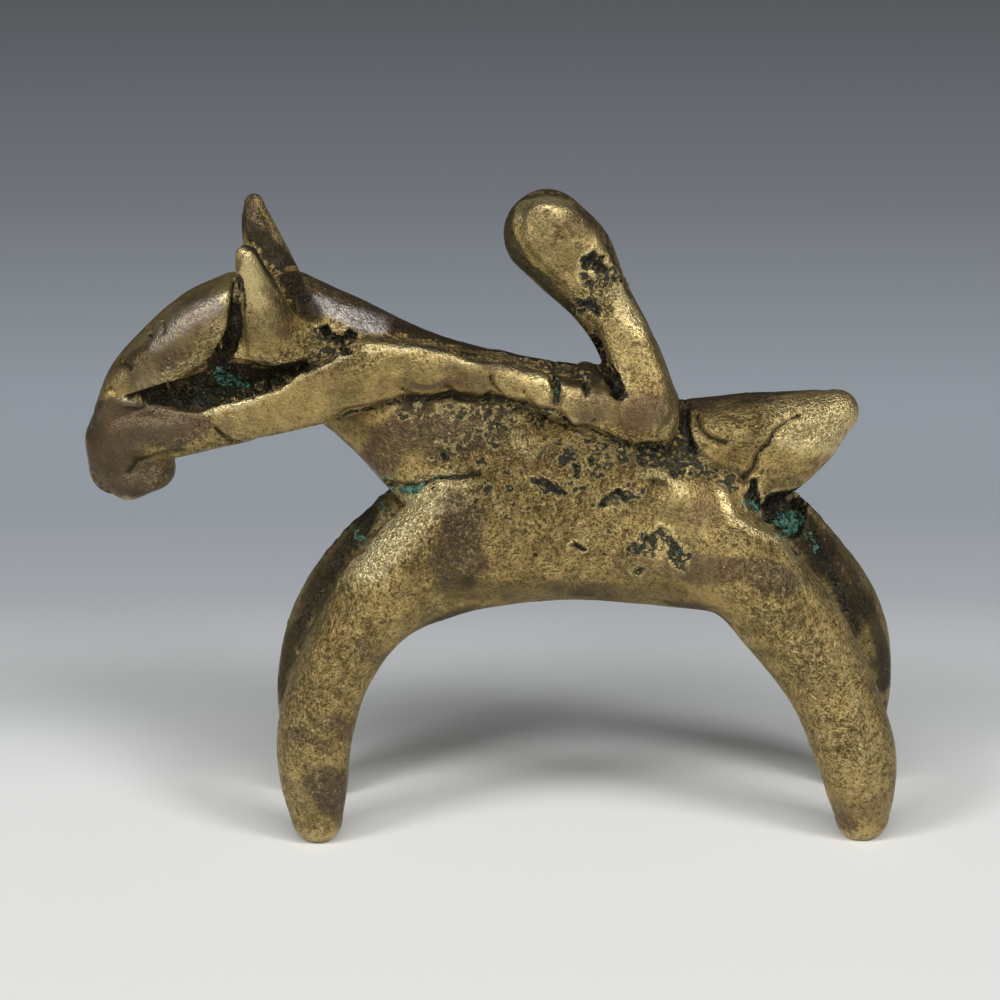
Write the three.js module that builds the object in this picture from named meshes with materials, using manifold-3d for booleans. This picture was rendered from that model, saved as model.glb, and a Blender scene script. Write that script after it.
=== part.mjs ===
// A small cast brass horse and rider, in millimetres: +Z up, the horse facing -X, its near side towards -Y.
// The casting keeps the shape of its wax model, which was rolled and pressed together by hand.
// So every form here is a roll of wax: an oval section carried along a spine, with round ends.
import * as THREE from "three";
import { mergeVertices } from "three/addons/utils/BufferGeometryUtils.js";
import Module from "manifold-3d";

const wasm = await Module();
wasm.setup();

// Driving dimensions of the figure
const BELLY = 21.0; // height of the belly above the ground
const FLANK_DEEP = 5.6; // half height of a flank, where the hoop of two legs crosses it
const FLANK_OUT = 5.0; // distance of a flank's spine from the middle plane
const FLANK_WIDE = 4.4; // half thickness of a flank
const LEG_WIDE = 3.2; // half thickness of a leg, across the body
const FRONT_FOOT = -15.4; // places of the feet along the body
const HIND_FOOT = 31.6;
const FOOT = 2.3; // radius of a foot's round end
const FOOT_SINK = 0.5; // depth taken off the round feet, which makes the flat spots that they stand on
const NECK_WIDE = 3.6; // half thickness of the neck behind the ears
const HEAD_WIDE = 4.2; // half width of the brow and the jaw
const EAR_OUT = 5.8; // distance of the near ear's tip from the middle plane
const RIDER_HEAD = 3.8; // radius of the rider's head
const STRIP_WIDE = 1.6; // half thickness of the flat strips along the neck
const STRIP_OUT = 4.8; // distance of a strip's spine from the middle plane
const TAIL_TIP = 29.8; // place of the tail's tip along the body

// Resolution of the rolls
const SIDES = 14; // sides of a section
const RING_STEP = 2.8; // distance between sections
const CAP_RINGS = 3; // sections in each round end
const FLAT = 2.6; // squareness of a flat strip's section

// Height of a flank's spine before the feet are cut flat
const FLANK_Z = BELLY + FLANK_DEEP + FOOT_SINK;

// One station of a roll: the spine's place, and the section's half sizes along the body's plane and across it
const at = (x, y, z, deep, wide) => ({ x, y, z, deep, wide });

// A hoop of wax makes one side's front leg, flank and hind leg.
// The two hoops were bent by hand, so they differ.
const nearHoop = [
  at(FRONT_FOOT, -7.8, FOOT + 0.2, FOOT, FOOT - 0.1),
  at(FRONT_FOOT - 0.2, -7.6, 5.9, 2.9, LEG_WIDE - 0.3),
  at(FRONT_FOOT, -7.2, 10.8, 3.3, LEG_WIDE),
  at(-13.6, -6.8, 16.2, 3.35, LEG_WIDE + 0.1),
  at(-10.4, -6.3, 21.0, 3.8, LEG_WIDE + 0.3),
  at(-6.0, -5.7, 24.5, 5.0, LEG_WIDE + 0.7),
  at(0.5, -FLANK_OUT, FLANK_Z - 0.2, FLANK_DEEP + 0.2, FLANK_WIDE),
  at(8.5, -FLANK_OUT, FLANK_Z, FLANK_DEEP, FLANK_WIDE),
  at(16.0, -FLANK_OUT - 0.3, FLANK_Z - 0.9, FLANK_DEEP - 0.4, FLANK_WIDE - 0.1),
  at(21.4, -5.9, 24.4, 4.4, LEG_WIDE + 0.8),
  at(25.8, -6.4, 19.5, 4.25, LEG_WIDE + 0.4),
  at(29.2, -6.8, 14.0, 3.75, LEG_WIDE + 0.1),
  at(31.3, -7.0, 8.4, 3.5, LEG_WIDE),
  at(HIND_FOOT + 0.3, -7.0, 4.6, 2.9, LEG_WIDE - 0.3),
  at(HIND_FOOT + 0.4, -6.9, FOOT + 0.2, FOOT, FOOT),
];
const farHoop = [
  at(FRONT_FOOT, 4.8, FOOT + 0.2, FOOT, FOOT - 0.2),
  at(FRONT_FOOT - 0.6, 5.4, 5.9, 2.85, LEG_WIDE - 0.3),
  at(FRONT_FOOT - 0.6, 5.9, 10.6, 3.25, LEG_WIDE),
  at(-14.7, 5.9, 16.2, 3.4, LEG_WIDE),
  at(-11.5, 5.6, 20.8, 3.7, LEG_WIDE + 0.3),
  at(-6.6, 5.2, 24.5, 4.6, LEG_WIDE + 0.7),
  at(0.5, FLANK_OUT - 0.2, FLANK_Z - 0.2, FLANK_DEEP, FLANK_WIDE),
  at(8.5, FLANK_OUT, FLANK_Z, FLANK_DEEP, FLANK_WIDE),
  at(16.0, FLANK_OUT + 0.2, FLANK_Z - 0.4, FLANK_DEEP - 0.2, FLANK_WIDE - 0.1),
  at(23.1, 5.8, 25.1, 4.5, LEG_WIDE + 0.7),
  at(28.0, 6.6, 20.9, 3.7, LEG_WIDE + 0.3),
  at(31.3, 7.3, 15.4, 3.5, LEG_WIDE + 0.1),
  at(32.2, 7.7, 10.0, 3.25, LEG_WIDE),
  at(HIND_FOOT + 0.4, 7.8, 5.0, 2.8, LEG_WIDE - 0.3),
  at(HIND_FOOT, 7.7, FOOT + 0.2, FOOT, FOOT - 0.1),
];

// The horse's own body, between the hoops
const torso = [
  at(-3.0, 0, FLANK_Z + 3.1, 4.6, 6.8),
  at(3.0, 0, FLANK_Z + 3.9, 6.4, 8.2),
  at(10.0, 0, FLANK_Z + 3.9, 6.6, 8.6),
  at(16.0, 0, FLANK_Z + 3.1, 5.6, 8.2),
  at(20.0, 0, FLANK_Z + 2.1, 3.8, 7.0),
];
const chest = [
  at(-13.9, 0, 39.1, 2.7, NECK_WIDE),
  at(-9.9, 0, 35.8, 3.1, NECK_WIDE + 0.8),
  at(-6.2, 0, 32.2, 3.4, 6.2),
  at(-3.0, 0, 29.6, 3.4, 6.0),
];
const neck = [
  at(-17.5, 0, 42.6, 4.6, NECK_WIDE),
  at(-13.0, 0, 41.2, 5.4, NECK_WIDE + 0.4),
  at(-7.0, 0, 37.8, 5.8, 5.4),
  at(0.0, 0, 35.4, 5.4, 7.2),
];
const mane = [
  at(-17.2, 0, 47.0, 2.4, NECK_WIDE - 0.9),
  at(-11.8, 0, 44.3, 2.4, NECK_WIDE - 0.3),
  at(-5.5, 0, 41.6, 2.3, NECK_WIDE - 0.4),
  at(1.5, 0, 39.7, 2.3, NECK_WIDE - 0.6),
  at(9.5, 0, 38.3, 2.3, NECK_WIDE - 0.4),
];

// The head: a thin core, with the brow, jaw, muzzle and lip pressed on in thicker wax
const skull = [
  at(-18.0, 0, 42.8, 4.4, NECK_WIDE - 0.4),
  at(-23.5, 0, 41.6, 3.9, NECK_WIDE - 0.9),
  at(-28.5, 0, 38.8, 3.4, NECK_WIDE - 1.0),
  at(-31.8, 0, 35.2, 2.4, NECK_WIDE - 0.8),
];
const brow = [
  at(-22.3, 0, 46.8, 2.4, HEAD_WIDE - 0.4),
  at(-25.3, 0, 44.9, 2.8, HEAD_WIDE + 0.2),
  at(-28.6, 0, 42.1, 2.7, HEAD_WIDE + 0.1),
  at(-31.6, 0, 39.5, 2.1, HEAD_WIDE - 0.3),
  at(-33.2, 0, 37.3, 1.3, HEAD_WIDE - 0.7),
];
const jaw = [
  at(-32.5, 0, 35.5, 2.5, HEAD_WIDE - 0.3),
  at(-29.4, 0, 35.7, 2.6, HEAD_WIDE),
  at(-25.6, 0, 36.1, 2.3, HEAD_WIDE),
  at(-21.5, 0, 37.0, 2.2, HEAD_WIDE - 0.2),
];
const muzzle = [
  at(-33.2, 0, 34.6, 2.2, HEAD_WIDE - 0.7),
  at(-32.8, 0, 32.1, 2.3, HEAD_WIDE - 0.6),
];
const lip = [
  at(-31.6, 0, 31.2, 1.9, HEAD_WIDE - 0.2),
  at(-29.3, 0, 31.9, 1.7, HEAD_WIDE - 0.5),
];
const chin = [
  at(-32.2, 0, 33.3, 1.7, HEAD_WIDE - 0.7),
  at(-29.0, 0, 33.0, 1.3, HEAD_WIDE - 0.9),
];
const nearCheek = [
  at(-21.6, -2.3, 43.0, 1.4, 1.6),
  at(-18.0, -2.6, 43.3, 2.0, 1.7),
  at(-14.8, -2.2, 43.4, 1.8, 1.6),
];
const nearEar = [
  at(-19.1, 2.8 - EAR_OUT, 44.8, 2.4, 1.8),
  at(-19.6, 1.8 - EAR_OUT, 47.0, 1.9, 1.7),
  at(-20.2, 1.1 - EAR_OUT, 48.9, 1.6, 1.4),
  at(-20.8, 0.4 - EAR_OUT, 50.8, 1.2, 1.1),
  at(-21.1, -EAR_OUT, 52.4, 0.8, 0.8),
];
const farEar = [
  at(-18.6, EAR_OUT - 3.4, 46.2, 2.9, 1.9),
  at(-19.8, EAR_OUT - 2.0, 50.2, 2.0, 1.5),
  at(-20.6, EAR_OUT - 1.2, 53.0, 1.3, 1.1),
  at(-20.8, EAR_OUT - 0.9, 54.4, 0.8, 0.8),
];

// The rider: a torso with a round head and no face.
// On each side one flat strip is arm, rein and leg at once.
const rider = [
  at(13.0, 0, 37.0, 3.2, 5.4),
  at(12.3, 0, 40.6, 2.6, 4.7),
  at(10.8, 0, 44.1, 2.3, 3.8),
  at(9.0, 0, 47.2, 2.6, 3.4),
  at(6.8, 0, 50.4, RIDER_HEAD - 0.2, RIDER_HEAD - 0.3),
  at(4.4, 0, 52.8, RIDER_HEAD - 0.1, RIDER_HEAD - 0.4),
];
const nearStrip = [
  at(-23.0, 1.8 - STRIP_OUT, 36.9, 1.8, STRIP_WIDE - 0.1),
  at(-18.6, 1.1 - STRIP_OUT, 38.3, 2.1, STRIP_WIDE),
  at(-14.0, 0.6 - STRIP_OUT, 40.3, 3.0, STRIP_WIDE + 0.1),
  at(-10.0, 0.4 - STRIP_OUT, 41.6, 2.9, STRIP_WIDE + 0.1),
  at(-5.0, 0.2 - STRIP_OUT, 41.8, 2.0, STRIP_WIDE),
  at(0.0, -STRIP_OUT, 41.2, 1.6, STRIP_WIDE),
  at(5.0, -STRIP_OUT - 0.4, 39.7, 1.7, STRIP_WIDE + 0.1),
  at(9.0, -STRIP_OUT - 0.8, 38.4, 2.3, STRIP_WIDE + 0.3),
  at(13.0, -STRIP_OUT - 0.8, 38.0, 2.8, STRIP_WIDE + 0.4),
];
const nearThigh = [
  at(13.3, -STRIP_OUT - 0.6, 38.0, 2.7, STRIP_WIDE + 0.4),
  at(12.7, 0.4 - STRIP_OUT, 41.2, 2.2, STRIP_WIDE + 0.3),
  at(10.8, 2.2 - STRIP_OUT, 45.0, 2.0, STRIP_WIDE + 0.1),
  at(9.4, 3.6 - STRIP_OUT, 47.4, 1.9, STRIP_WIDE - 0.1),
];

// A web of wax stands in front of the rider's waist on each side, and leaves a narrow slot behind it
const nearWeb = [
  at(7.8, -2.6, 40.9, 1.1, 2.3),
  at(10.0, -2.8, 39.6, 1.5, 2.7),
];

// The raised back of the saddle, and the blunt tail that stands out over the hind legs
const cantle = [
  at(17.5, 0, 35.2, 2.8, 4.8),
  at(21.5, 0, 35.5, 2.8, 4.6),
  at(25.2, 0, 36.1, 2.5, 3.9),
  at(28.0, 0, 36.8, 2.0, 3.0),
];
const tail = [
  at(TAIL_TIP - 11.0, 0, 30.0, 3.2, 4.6),
  at(TAIL_TIP - 6.4, 0, 32.2, 3.4, 4.2),
  at(TAIL_TIP - 2.5, 0, 35.2, 2.9, 3.4),
  at(TAIL_TIP - 0.2, 0, 37.0, 2.0, 2.4),
];

// The far side repeats these forms a little lower
const mirrored = (stations, drop) => stations.map((s) => at(s.x, -s.y, s.z - drop, s.deep, s.wide));
const farCheek = mirrored(nearCheek, 0.8);
const farStrip = mirrored(nearStrip, 1.6);
const farThigh = mirrored(nearThigh, 1.8);
const farWeb = mirrored(nearWeb, 1.8);

// The geometry of one roll. Sections stand square to a centripetal Catmull-Rom spine.
// Each end is a half ellipsoid. A squareness n of 2 gives an ellipse, and more gives flatter faces:
// x = deep |cos a|^(2/n), y = wide |sin a|^(2/n).
function rollGeometry(stations, squareness = 2) {
  const points = stations.map((s) => new THREE.Vector3(s.x, s.y, s.z));
  const spine = new THREE.CatmullRomCurve3(points, false, "centripetal");
  const halves = stations.map((s) => new THREE.Vector3(s.deep, s.wide, 0));
  const sizes = new THREE.CatmullRomCurve3(halves, false, "catmullrom");
  const steps = Math.max(2, Math.round(spine.getLength() / RING_STEP));
  const sections = [];
  const addSection = (u, ahead, scale) => {
    const tangent = spine.getTangentAt(u);
    const size = sizes.getPoint(spine.getUtoTmapping(u));
    const centre = spine.getPointAt(u).addScaledVector(tangent, ahead * size.x);
    sections.push({ centre, tangent, deep: size.x * scale, wide: size.y * scale });
  };
  for (let i = 1; i <= CAP_RINGS; i++) {
    const a = ((i / (CAP_RINGS + 1)) * Math.PI) / 2;
    addSection(0, -Math.cos(a), Math.sin(a));
  }
  for (let i = 0; i <= steps; i++) addSection(i / steps, 0, 1);
  for (let i = CAP_RINGS; i >= 1; i--) {
    const a = ((i / (CAP_RINGS + 1)) * Math.PI) / 2;
    addSection(1, Math.cos(a), Math.sin(a));
  }

  const power = 2 / squareness;
  const bulge = (v) => Math.sign(v) * Math.abs(v) ** power;
  const vertices = [];
  for (const { centre, tangent, deep, wide } of sections) {
    const across = new THREE.Vector3(0, 1, 0).addScaledVector(tangent, -tangent.y).normalize();
    const upright = new THREE.Vector3().crossVectors(across, tangent);
    for (let j = 0; j < SIDES; j++) {
      const a = (j / SIDES) * 2 * Math.PI;
      const v = centre.clone().addScaledVector(upright, deep * bulge(Math.cos(a)));
      vertices.push(v.addScaledVector(across, wide * bulge(Math.sin(a))));
    }
  }
  const start = vertices.push(endPoint(spine, sizes, 0, -1)) - 1;
  const end = vertices.push(endPoint(spine, sizes, 1, 1)) - 1;

  const index = [];
  for (let i = 0; i + 1 < sections.length; i++) {
    for (let j = 0; j < SIDES; j++) {
      const a = i * SIDES + j;
      const b = i * SIDES + ((j + 1) % SIDES);
      index.push(a, b, a + SIDES, b, b + SIDES, a + SIDES);
    }
  }
  const last = (sections.length - 1) * SIDES;
  for (let j = 0; j < SIDES; j++) {
    const next = (j + 1) % SIDES;
    index.push(start, next, j, end, last + j, last + next);
  }
  return new THREE.BufferGeometry().setFromPoints(vertices).setIndex(index);
}

// The outermost point of a roll's round end
function endPoint(spine, sizes, u, direction) {
  return spine.getPointAt(u).addScaledVector(spine.getTangentAt(u), direction * sizes.getPoint(u).x);
}

// A closed three.js geometry as a solid
function asSolid(geometry) {
  const bare = geometry.clone();
  bare.deleteAttribute("normal");
  bare.deleteAttribute("uv");
  const merged = mergeVertices(bare, 1e-4);
  const vertProperties = new Float32Array(merged.attributes.position.array);
  const triVerts = new Uint32Array(merged.index.array);
  return new wasm.Manifold(new wasm.Mesh({ numProp: 3, vertProperties, triVerts }));
}

// A solid as a three.js geometry with flat faces
function asGeometry(solid) {
  const mesh = solid.getMesh();
  const positions = new THREE.BufferAttribute(new Float32Array(mesh.vertProperties), 3);
  const indexed = new THREE.BufferGeometry().setAttribute("position", positions);
  indexed.setIndex(new THREE.BufferAttribute(new Uint32Array(mesh.triVerts), 1));
  const faceted = indexed.toNonIndexed();
  faceted.computeVertexNormals();
  return faceted;
}

// The whole casting: all rolls joined, and the feet flattened by a block of ground larger than the figure
function casting() {
  const body = [nearHoop, farHoop, torso, chest, neck, mane, cantle, tail];
  const head = [skull, muzzle, lip, chin, nearCheek, farCheek, nearEar, farEar];
  const ovals = [...body, ...head, nearWeb, farWeb];
  const flats = [brow, jaw, rider, nearStrip, farStrip, nearThigh, farThigh];
  const solids = [
    ...ovals.map((stations) => asSolid(rollGeometry(stations))),
    ...flats.map((stations) => asSolid(rollGeometry(stations, FLAT))),
  ];
  const joined = solids.reduce((whole, solid) => whole.add(solid));
  const block = 120;
  const ground = new THREE.BoxGeometry(block, block, block).translate(0, 0, FOOT_SINK - block / 2);
  return asGeometry(joined.subtract(asSolid(ground))).translate(0, 0, -FOOT_SINK);
}

const brass = new THREE.MeshStandardMaterial({ color: 0x8a7440, roughness: 0.45, metalness: 1 });

const figure = new THREE.Group();
const horseAndRider = new THREE.Mesh(casting(), brass);
horseAndRider.name = "horse_and_rider";
figure.add(horseAndRider);

export default figure;
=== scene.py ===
"""A small cast brass horse and rider on a pale studio floor.

The wax model's rolls are worked out with numpy in millimetres, joined, pressed into each other and given
their tool marks and casting pits. The finished surface is then scaled to metres.
"""
import itertools
import math

import bpy
import numpy as np
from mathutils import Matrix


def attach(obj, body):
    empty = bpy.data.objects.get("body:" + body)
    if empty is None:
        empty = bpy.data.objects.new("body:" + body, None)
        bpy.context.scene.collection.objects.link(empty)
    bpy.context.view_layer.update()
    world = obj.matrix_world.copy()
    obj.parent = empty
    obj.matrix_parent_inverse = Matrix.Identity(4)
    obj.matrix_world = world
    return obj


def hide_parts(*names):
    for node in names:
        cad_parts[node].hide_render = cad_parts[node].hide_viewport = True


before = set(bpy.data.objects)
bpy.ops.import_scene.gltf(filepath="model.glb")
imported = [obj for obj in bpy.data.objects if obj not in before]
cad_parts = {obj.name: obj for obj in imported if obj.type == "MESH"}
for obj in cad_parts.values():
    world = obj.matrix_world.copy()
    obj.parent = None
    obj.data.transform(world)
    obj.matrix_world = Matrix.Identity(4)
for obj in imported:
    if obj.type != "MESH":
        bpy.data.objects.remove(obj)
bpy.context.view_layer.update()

scene = bpy.context.scene

# Metres in a millimetre, then the figure's driving dimensions in millimetres.
# X runs towards the tail, Y away from the near side.
MM = 0.001
BELLY = 21.0
FLANK_DEEP = 5.6
FLANK_OUT = 5.0
FLANK_WIDE = 4.4
LEG_WIDE = 3.2
FRONT_FOOT = -15.4
HIND_FOOT = 31.6
FOOT = 2.3
FOOT_SINK = 0.5
NECK_WIDE = 3.6
HEAD_WIDE = 4.2
EAR_OUT = 5.8
RIDER_HEAD = 3.8
STRIP_WIDE = 1.6
STRIP_OUT = 4.8
TAIL_TIP = 29.8
FLANK_Z = BELLY + FLANK_DEEP + FOOT_SINK

# How square a roll's section is: an oval, or flattened between the fingers
OVAL = 2.0
FLATTENED = 3.2

# Fineness of the mesh
ROLL_STEP = 0.35
ROLL_SIDES = 72
CAP_ROWS = 14
VOXEL = 0.22
MOST_TRIANGLES = 190000

# The camera stands in front of the near side and looks a little down
EYE = np.array([0.5, -432.57, 152.54])
LOOK_DOWN = 16.0
LENS = 186.3


# Rolls of wax
def along(stations, steps, t):
    """Catmull-Rom curve through the stations at parameters t; steps are the knot distances between them."""
    first = 2 * stations[0] - stations[1]
    last = 2 * stations[-1] - stations[-2]
    p = np.vstack([first, stations, last])
    d = np.concatenate([steps[:1], steps, steps[-1:]])
    place = t * (len(stations) - 1)
    i = np.minimum(place.astype(int), len(stations) - 2)
    w = (place - i)[:, None]
    d0, d1, d2 = d[i][:, None], d[i + 1][:, None], d[i + 2][:, None]
    p0, p1, p2, p3 = p[i], p[i + 1], p[i + 2], p[i + 3]
    m1 = ((p1 - p0) / d0 - (p2 - p0) / (d0 + d1) + (p2 - p1) / d1) * d1
    m2 = ((p2 - p1) / d1 - (p3 - p1) / (d1 + d2) + (p3 - p2) / d2) * d1
    return p1 + m1 * w + (3 * (p2 - p1) - 2 * m1 - m2) * w**2 + (2 * (p1 - p2) + m1 + m2) * w**3


def roll(stations, squareness):
    """One roll of wax as points and triangles.

    Its profile is carried along the spine: centre(t) + deep |cos b|^(2/n) up + wide |sin b|^(2/n) across, for
    t along the spine, b round the section and n its squareness. Half an ellipsoid closes each end.
    """
    stations = np.array(stations, float)
    spine, sizes = stations[:, :3], stations[:, 3:]
    gaps = np.linalg.norm(np.diff(spine, axis=0), axis=1)
    rows = max(8, int(gaps.sum() / ROLL_STEP))
    t = np.linspace(0, 1, rows)
    centre = along(spine, np.sqrt(gaps), t)
    size = along(sizes, np.ones(len(gaps)), t)
    tangent = np.gradient(centre, axis=0)
    tangent /= np.linalg.norm(tangent, axis=1, keepdims=True)

    a = np.linspace(0, np.pi / 2, CAP_ROWS + 2)[1:-1][:, None]
    start = centre[0] - tangent[0] * size[0, 0] * np.cos(a)
    end = centre[-1] + tangent[-1] * size[-1, 0] * np.cos(a[::-1])
    tips = [centre[0] - tangent[0] * size[0, 0], centre[-1] + tangent[-1] * size[-1, 0]]
    centre = np.vstack([start, centre, end])
    tangent = np.vstack([np.repeat(tangent[:1], CAP_ROWS, 0), tangent, np.repeat(tangent[-1:], CAP_ROWS, 0)])
    size = np.vstack([size[0] * np.sin(a), size, size[-1] * np.sin(a[::-1])])

    across = np.array([0.0, 1.0, 0.0]) - tangent * tangent[:, 1:2]
    across /= np.linalg.norm(across, axis=1, keepdims=True)
    upright = np.cross(across, tangent)
    b = np.arange(ROLL_SIDES) / ROLL_SIDES * 2 * np.pi
    cosine, sine = (np.sign(v) * np.abs(v) ** (2 / squareness) for v in (np.cos(b), np.sin(b)))
    deep = size[:, None, :1] * cosine[None, :, None]
    wide = size[:, None, 1:] * sine[None, :, None]
    ring = centre[:, None] + deep * upright[:, None] + wide * across[:, None]
    points = np.vstack([ring.reshape(-1, 3), tips])

    count = len(centre)
    i, j = np.meshgrid(np.arange(count - 1), np.arange(ROLL_SIDES), indexing="ij")
    k = (j + 1) % ROLL_SIDES
    p, q = i * ROLL_SIDES + j, i * ROLL_SIDES + k
    r, s = p + ROLL_SIDES, q + ROLL_SIDES
    wall = np.concatenate([np.stack([p, q, r], -1).reshape(-1, 3), np.stack([q, s, r], -1).reshape(-1, 3)])
    j, k = j[0], k[0]
    low = np.full(ROLL_SIDES, len(points) - 2)
    top = (count - 1) * ROLL_SIDES
    caps = np.concatenate([np.stack([low, k, j], -1), np.stack([low + 1, top + j, top + k], -1)])
    return points, np.concatenate([wall, caps])


def mirrored(stations, drop):
    """The same stations on the far side, a little lower."""
    return [(x, -y, z - drop, deep, wide) for x, y, z, deep, wide in stations]


def placed(out, wide, stations):
    """Stations whose y is given from out, and their half width from wide."""
    return [(x, y + out, z, deep, more + wide) for x, y, z, deep, more in stations]


# Stations along each roll: x, y, z, half its depth and half its width, in millimetres
near_hoop = [
    (FRONT_FOOT, -7.8, FOOT + 0.2, FOOT, FOOT - 0.1), (FRONT_FOOT - 0.2, -7.6, 5.9, 2.9, LEG_WIDE - 0.3),
    (FRONT_FOOT, -7.2, 10.8, 3.3, LEG_WIDE), (-13.6, -6.8, 16.2, 3.35, LEG_WIDE + 0.1),
    (-10.4, -6.3, 21, 3.8, LEG_WIDE + 0.3), (-6, -5.7, 24.5, 5, LEG_WIDE + 0.7),
    (0.5, -FLANK_OUT, FLANK_Z - 0.2, FLANK_DEEP + 0.2, FLANK_WIDE),
    (8.5, -FLANK_OUT, FLANK_Z, FLANK_DEEP, FLANK_WIDE),
    (16, -FLANK_OUT - 0.3, FLANK_Z - 0.9, FLANK_DEEP - 0.4, FLANK_WIDE - 0.1),
    (21.4, -5.9, 24.4, 4.4, LEG_WIDE + 0.8), (25.8, -6.4, 19.5, 4.25, LEG_WIDE + 0.4),
    (29.2, -6.8, 14, 3.75, LEG_WIDE + 0.1), (31.3, -7, 8.4, 3.5, LEG_WIDE),
    (HIND_FOOT + 0.3, -7, 4.6, 2.9, LEG_WIDE - 0.3), (HIND_FOOT + 0.4, -6.9, FOOT + 0.2, FOOT, FOOT),
]
far_hoop = [
    (FRONT_FOOT, 4.8, FOOT + 0.2, FOOT, FOOT - 0.2), (FRONT_FOOT - 0.6, 5.4, 5.9, 2.85, LEG_WIDE - 0.3),
    (FRONT_FOOT - 0.6, 5.9, 10.6, 3.25, LEG_WIDE), (-14.7, 5.9, 16.2, 3.4, LEG_WIDE),
    (-11.5, 5.6, 20.8, 3.7, LEG_WIDE + 0.3), (-6.6, 5.2, 24.5, 4.6, LEG_WIDE + 0.7),
    (0.5, FLANK_OUT - 0.2, FLANK_Z - 0.2, FLANK_DEEP, FLANK_WIDE),
    (8.5, FLANK_OUT, FLANK_Z, FLANK_DEEP, FLANK_WIDE),
    (16, FLANK_OUT + 0.2, FLANK_Z - 0.4, FLANK_DEEP - 0.2, FLANK_WIDE - 0.1),
    (23.1, 5.8, 25.1, 4.5, LEG_WIDE + 0.7), (28, 6.6, 20.9, 3.7, LEG_WIDE + 0.3),
    (31.3, 7.3, 15.4, 3.5, LEG_WIDE + 0.1), (32.2, 7.7, 10, 3.25, LEG_WIDE),
    (HIND_FOOT + 0.4, 7.8, 5, 2.8, LEG_WIDE - 0.3), (HIND_FOOT, 7.7, FOOT + 0.2, FOOT, FOOT - 0.1),
]
torso = [
    (-3, 0, FLANK_Z + 3.1, 4.6, 6.8), (3, 0, FLANK_Z + 3.9, 6.4, 8.2), (10, 0, FLANK_Z + 3.9, 6.6, 8.6),
    (16, 0, FLANK_Z + 3.1, 5.6, 8.2), (20, 0, FLANK_Z + 2.1, 3.8, 7),
]
chest = [
    (-13.9, 0, 39.1, 2.7, NECK_WIDE), (-9.9, 0, 35.8, 3.1, NECK_WIDE + 0.8), (-6.2, 0, 32.2, 3.4, 6.2),
    (-3, 0, 29.6, 3.4, 6),
]
neck = [
    (-17.5, 0, 42.6, 4.6, NECK_WIDE), (-13, 0, 41.2, 5.4, NECK_WIDE + 0.4), (-7, 0, 37.8, 5.8, 5.4),
    (0, 0, 35.4, 5.4, 7.2),
]
mane = placed(0, NECK_WIDE, [
    (-17.2, 0, 47, 2.4, -0.9), (-11.8, 0, 44.3, 2.4, -0.3), (-5.5, 0, 41.6, 2.3, -0.4),
    (1.5, 0, 39.7, 2.3, -0.6), (9.5, 0, 38.3, 2.3, -0.4),
])
skull = placed(0, NECK_WIDE, [
    (-18, 0, 42.8, 4.4, -0.4), (-23.5, 0, 41.6, 3.9, -0.9), (-28.5, 0, 38.8, 3.4, -1),
    (-31.8, 0, 35.2, 2.4, -0.8),
])
brow = placed(0, HEAD_WIDE, [
    (-22.3, 0, 46.8, 2.4, -0.4), (-25.3, 0, 44.9, 2.8, 0.2), (-28.6, 0, 42.1, 2.7, 0.1),
    (-31.6, 0, 39.5, 2.1, -0.3), (-33.2, 0, 37.3, 1.3, -0.7),
])
jaw = placed(0, HEAD_WIDE, [
    (-32.5, 0, 35.5, 2.5, -0.3), (-29.4, 0, 35.7, 2.6, 0), (-25.6, 0, 36.1, 2.3, 0),
    (-21.5, 0, 37, 2.2, -0.2),
])
muzzle = placed(0, HEAD_WIDE, [(-33.2, 0, 34.6, 2.2, -0.7), (-32.8, 0, 32.1, 2.3, -0.6)])
lip = placed(0, HEAD_WIDE, [(-31.6, 0, 31.2, 1.9, -0.2), (-29.3, 0, 31.9, 1.7, -0.5)])
chin = placed(0, HEAD_WIDE, [(-32.2, 0, 33.3, 1.7, -0.7), (-29, 0, 33, 1.3, -0.9)])
near_cheek = [(-21.6, -2.3, 43, 1.4, 1.6), (-18, -2.6, 43.3, 2, 1.7), (-14.8, -2.2, 43.4, 1.8, 1.6)]
near_ear = [
    (-19.1, 2.8 - EAR_OUT, 44.8, 2.4, 1.8), (-19.6, 1.8 - EAR_OUT, 47, 1.9, 1.7),
    (-20.2, 1.1 - EAR_OUT, 48.9, 1.6, 1.4), (-20.8, 0.4 - EAR_OUT, 50.8, 1.2, 1.1),
    (-21.1, -EAR_OUT, 52.4, 0.8, 0.8),
]
far_ear = [
    (-18.6, EAR_OUT - 3.4, 46.2, 2.9, 1.9), (-19.8, EAR_OUT - 2, 50.2, 2, 1.5),
    (-20.6, EAR_OUT - 1.2, 53, 1.3, 1.1), (-20.8, EAR_OUT - 0.9, 54.4, 0.8, 0.8),
]
rider = [
    (13, 0, 37, 3.2, 5.4), (12.3, 0, 40.6, 2.6, 4.7), (10.8, 0, 44.1, 2.3, 3.8), (9, 0, 47.2, 2.6, 3.4),
    (6.8, 0, 50.4, RIDER_HEAD - 0.2, RIDER_HEAD - 0.3), (4.4, 0, 52.8, RIDER_HEAD - 0.1, RIDER_HEAD - 0.4),
]
near_strip = placed(-STRIP_OUT, STRIP_WIDE, [
    (-23, 1.8, 36.9, 1.8, -0.1), (-18.6, 1.1, 38.3, 2.1, 0), (-14, 0.6, 40.3, 3, 0.1),
    (-10, 0.4, 41.6, 2.9, 0.1), (-5, 0.2, 41.8, 2, 0), (0, 0, 41.2, 1.6, 0), (5, -0.4, 39.7, 1.7, 0.1),
    (9, -0.8, 38.4, 2.3, 0.3), (13, -0.8, 38, 2.8, 0.4),
])
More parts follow.
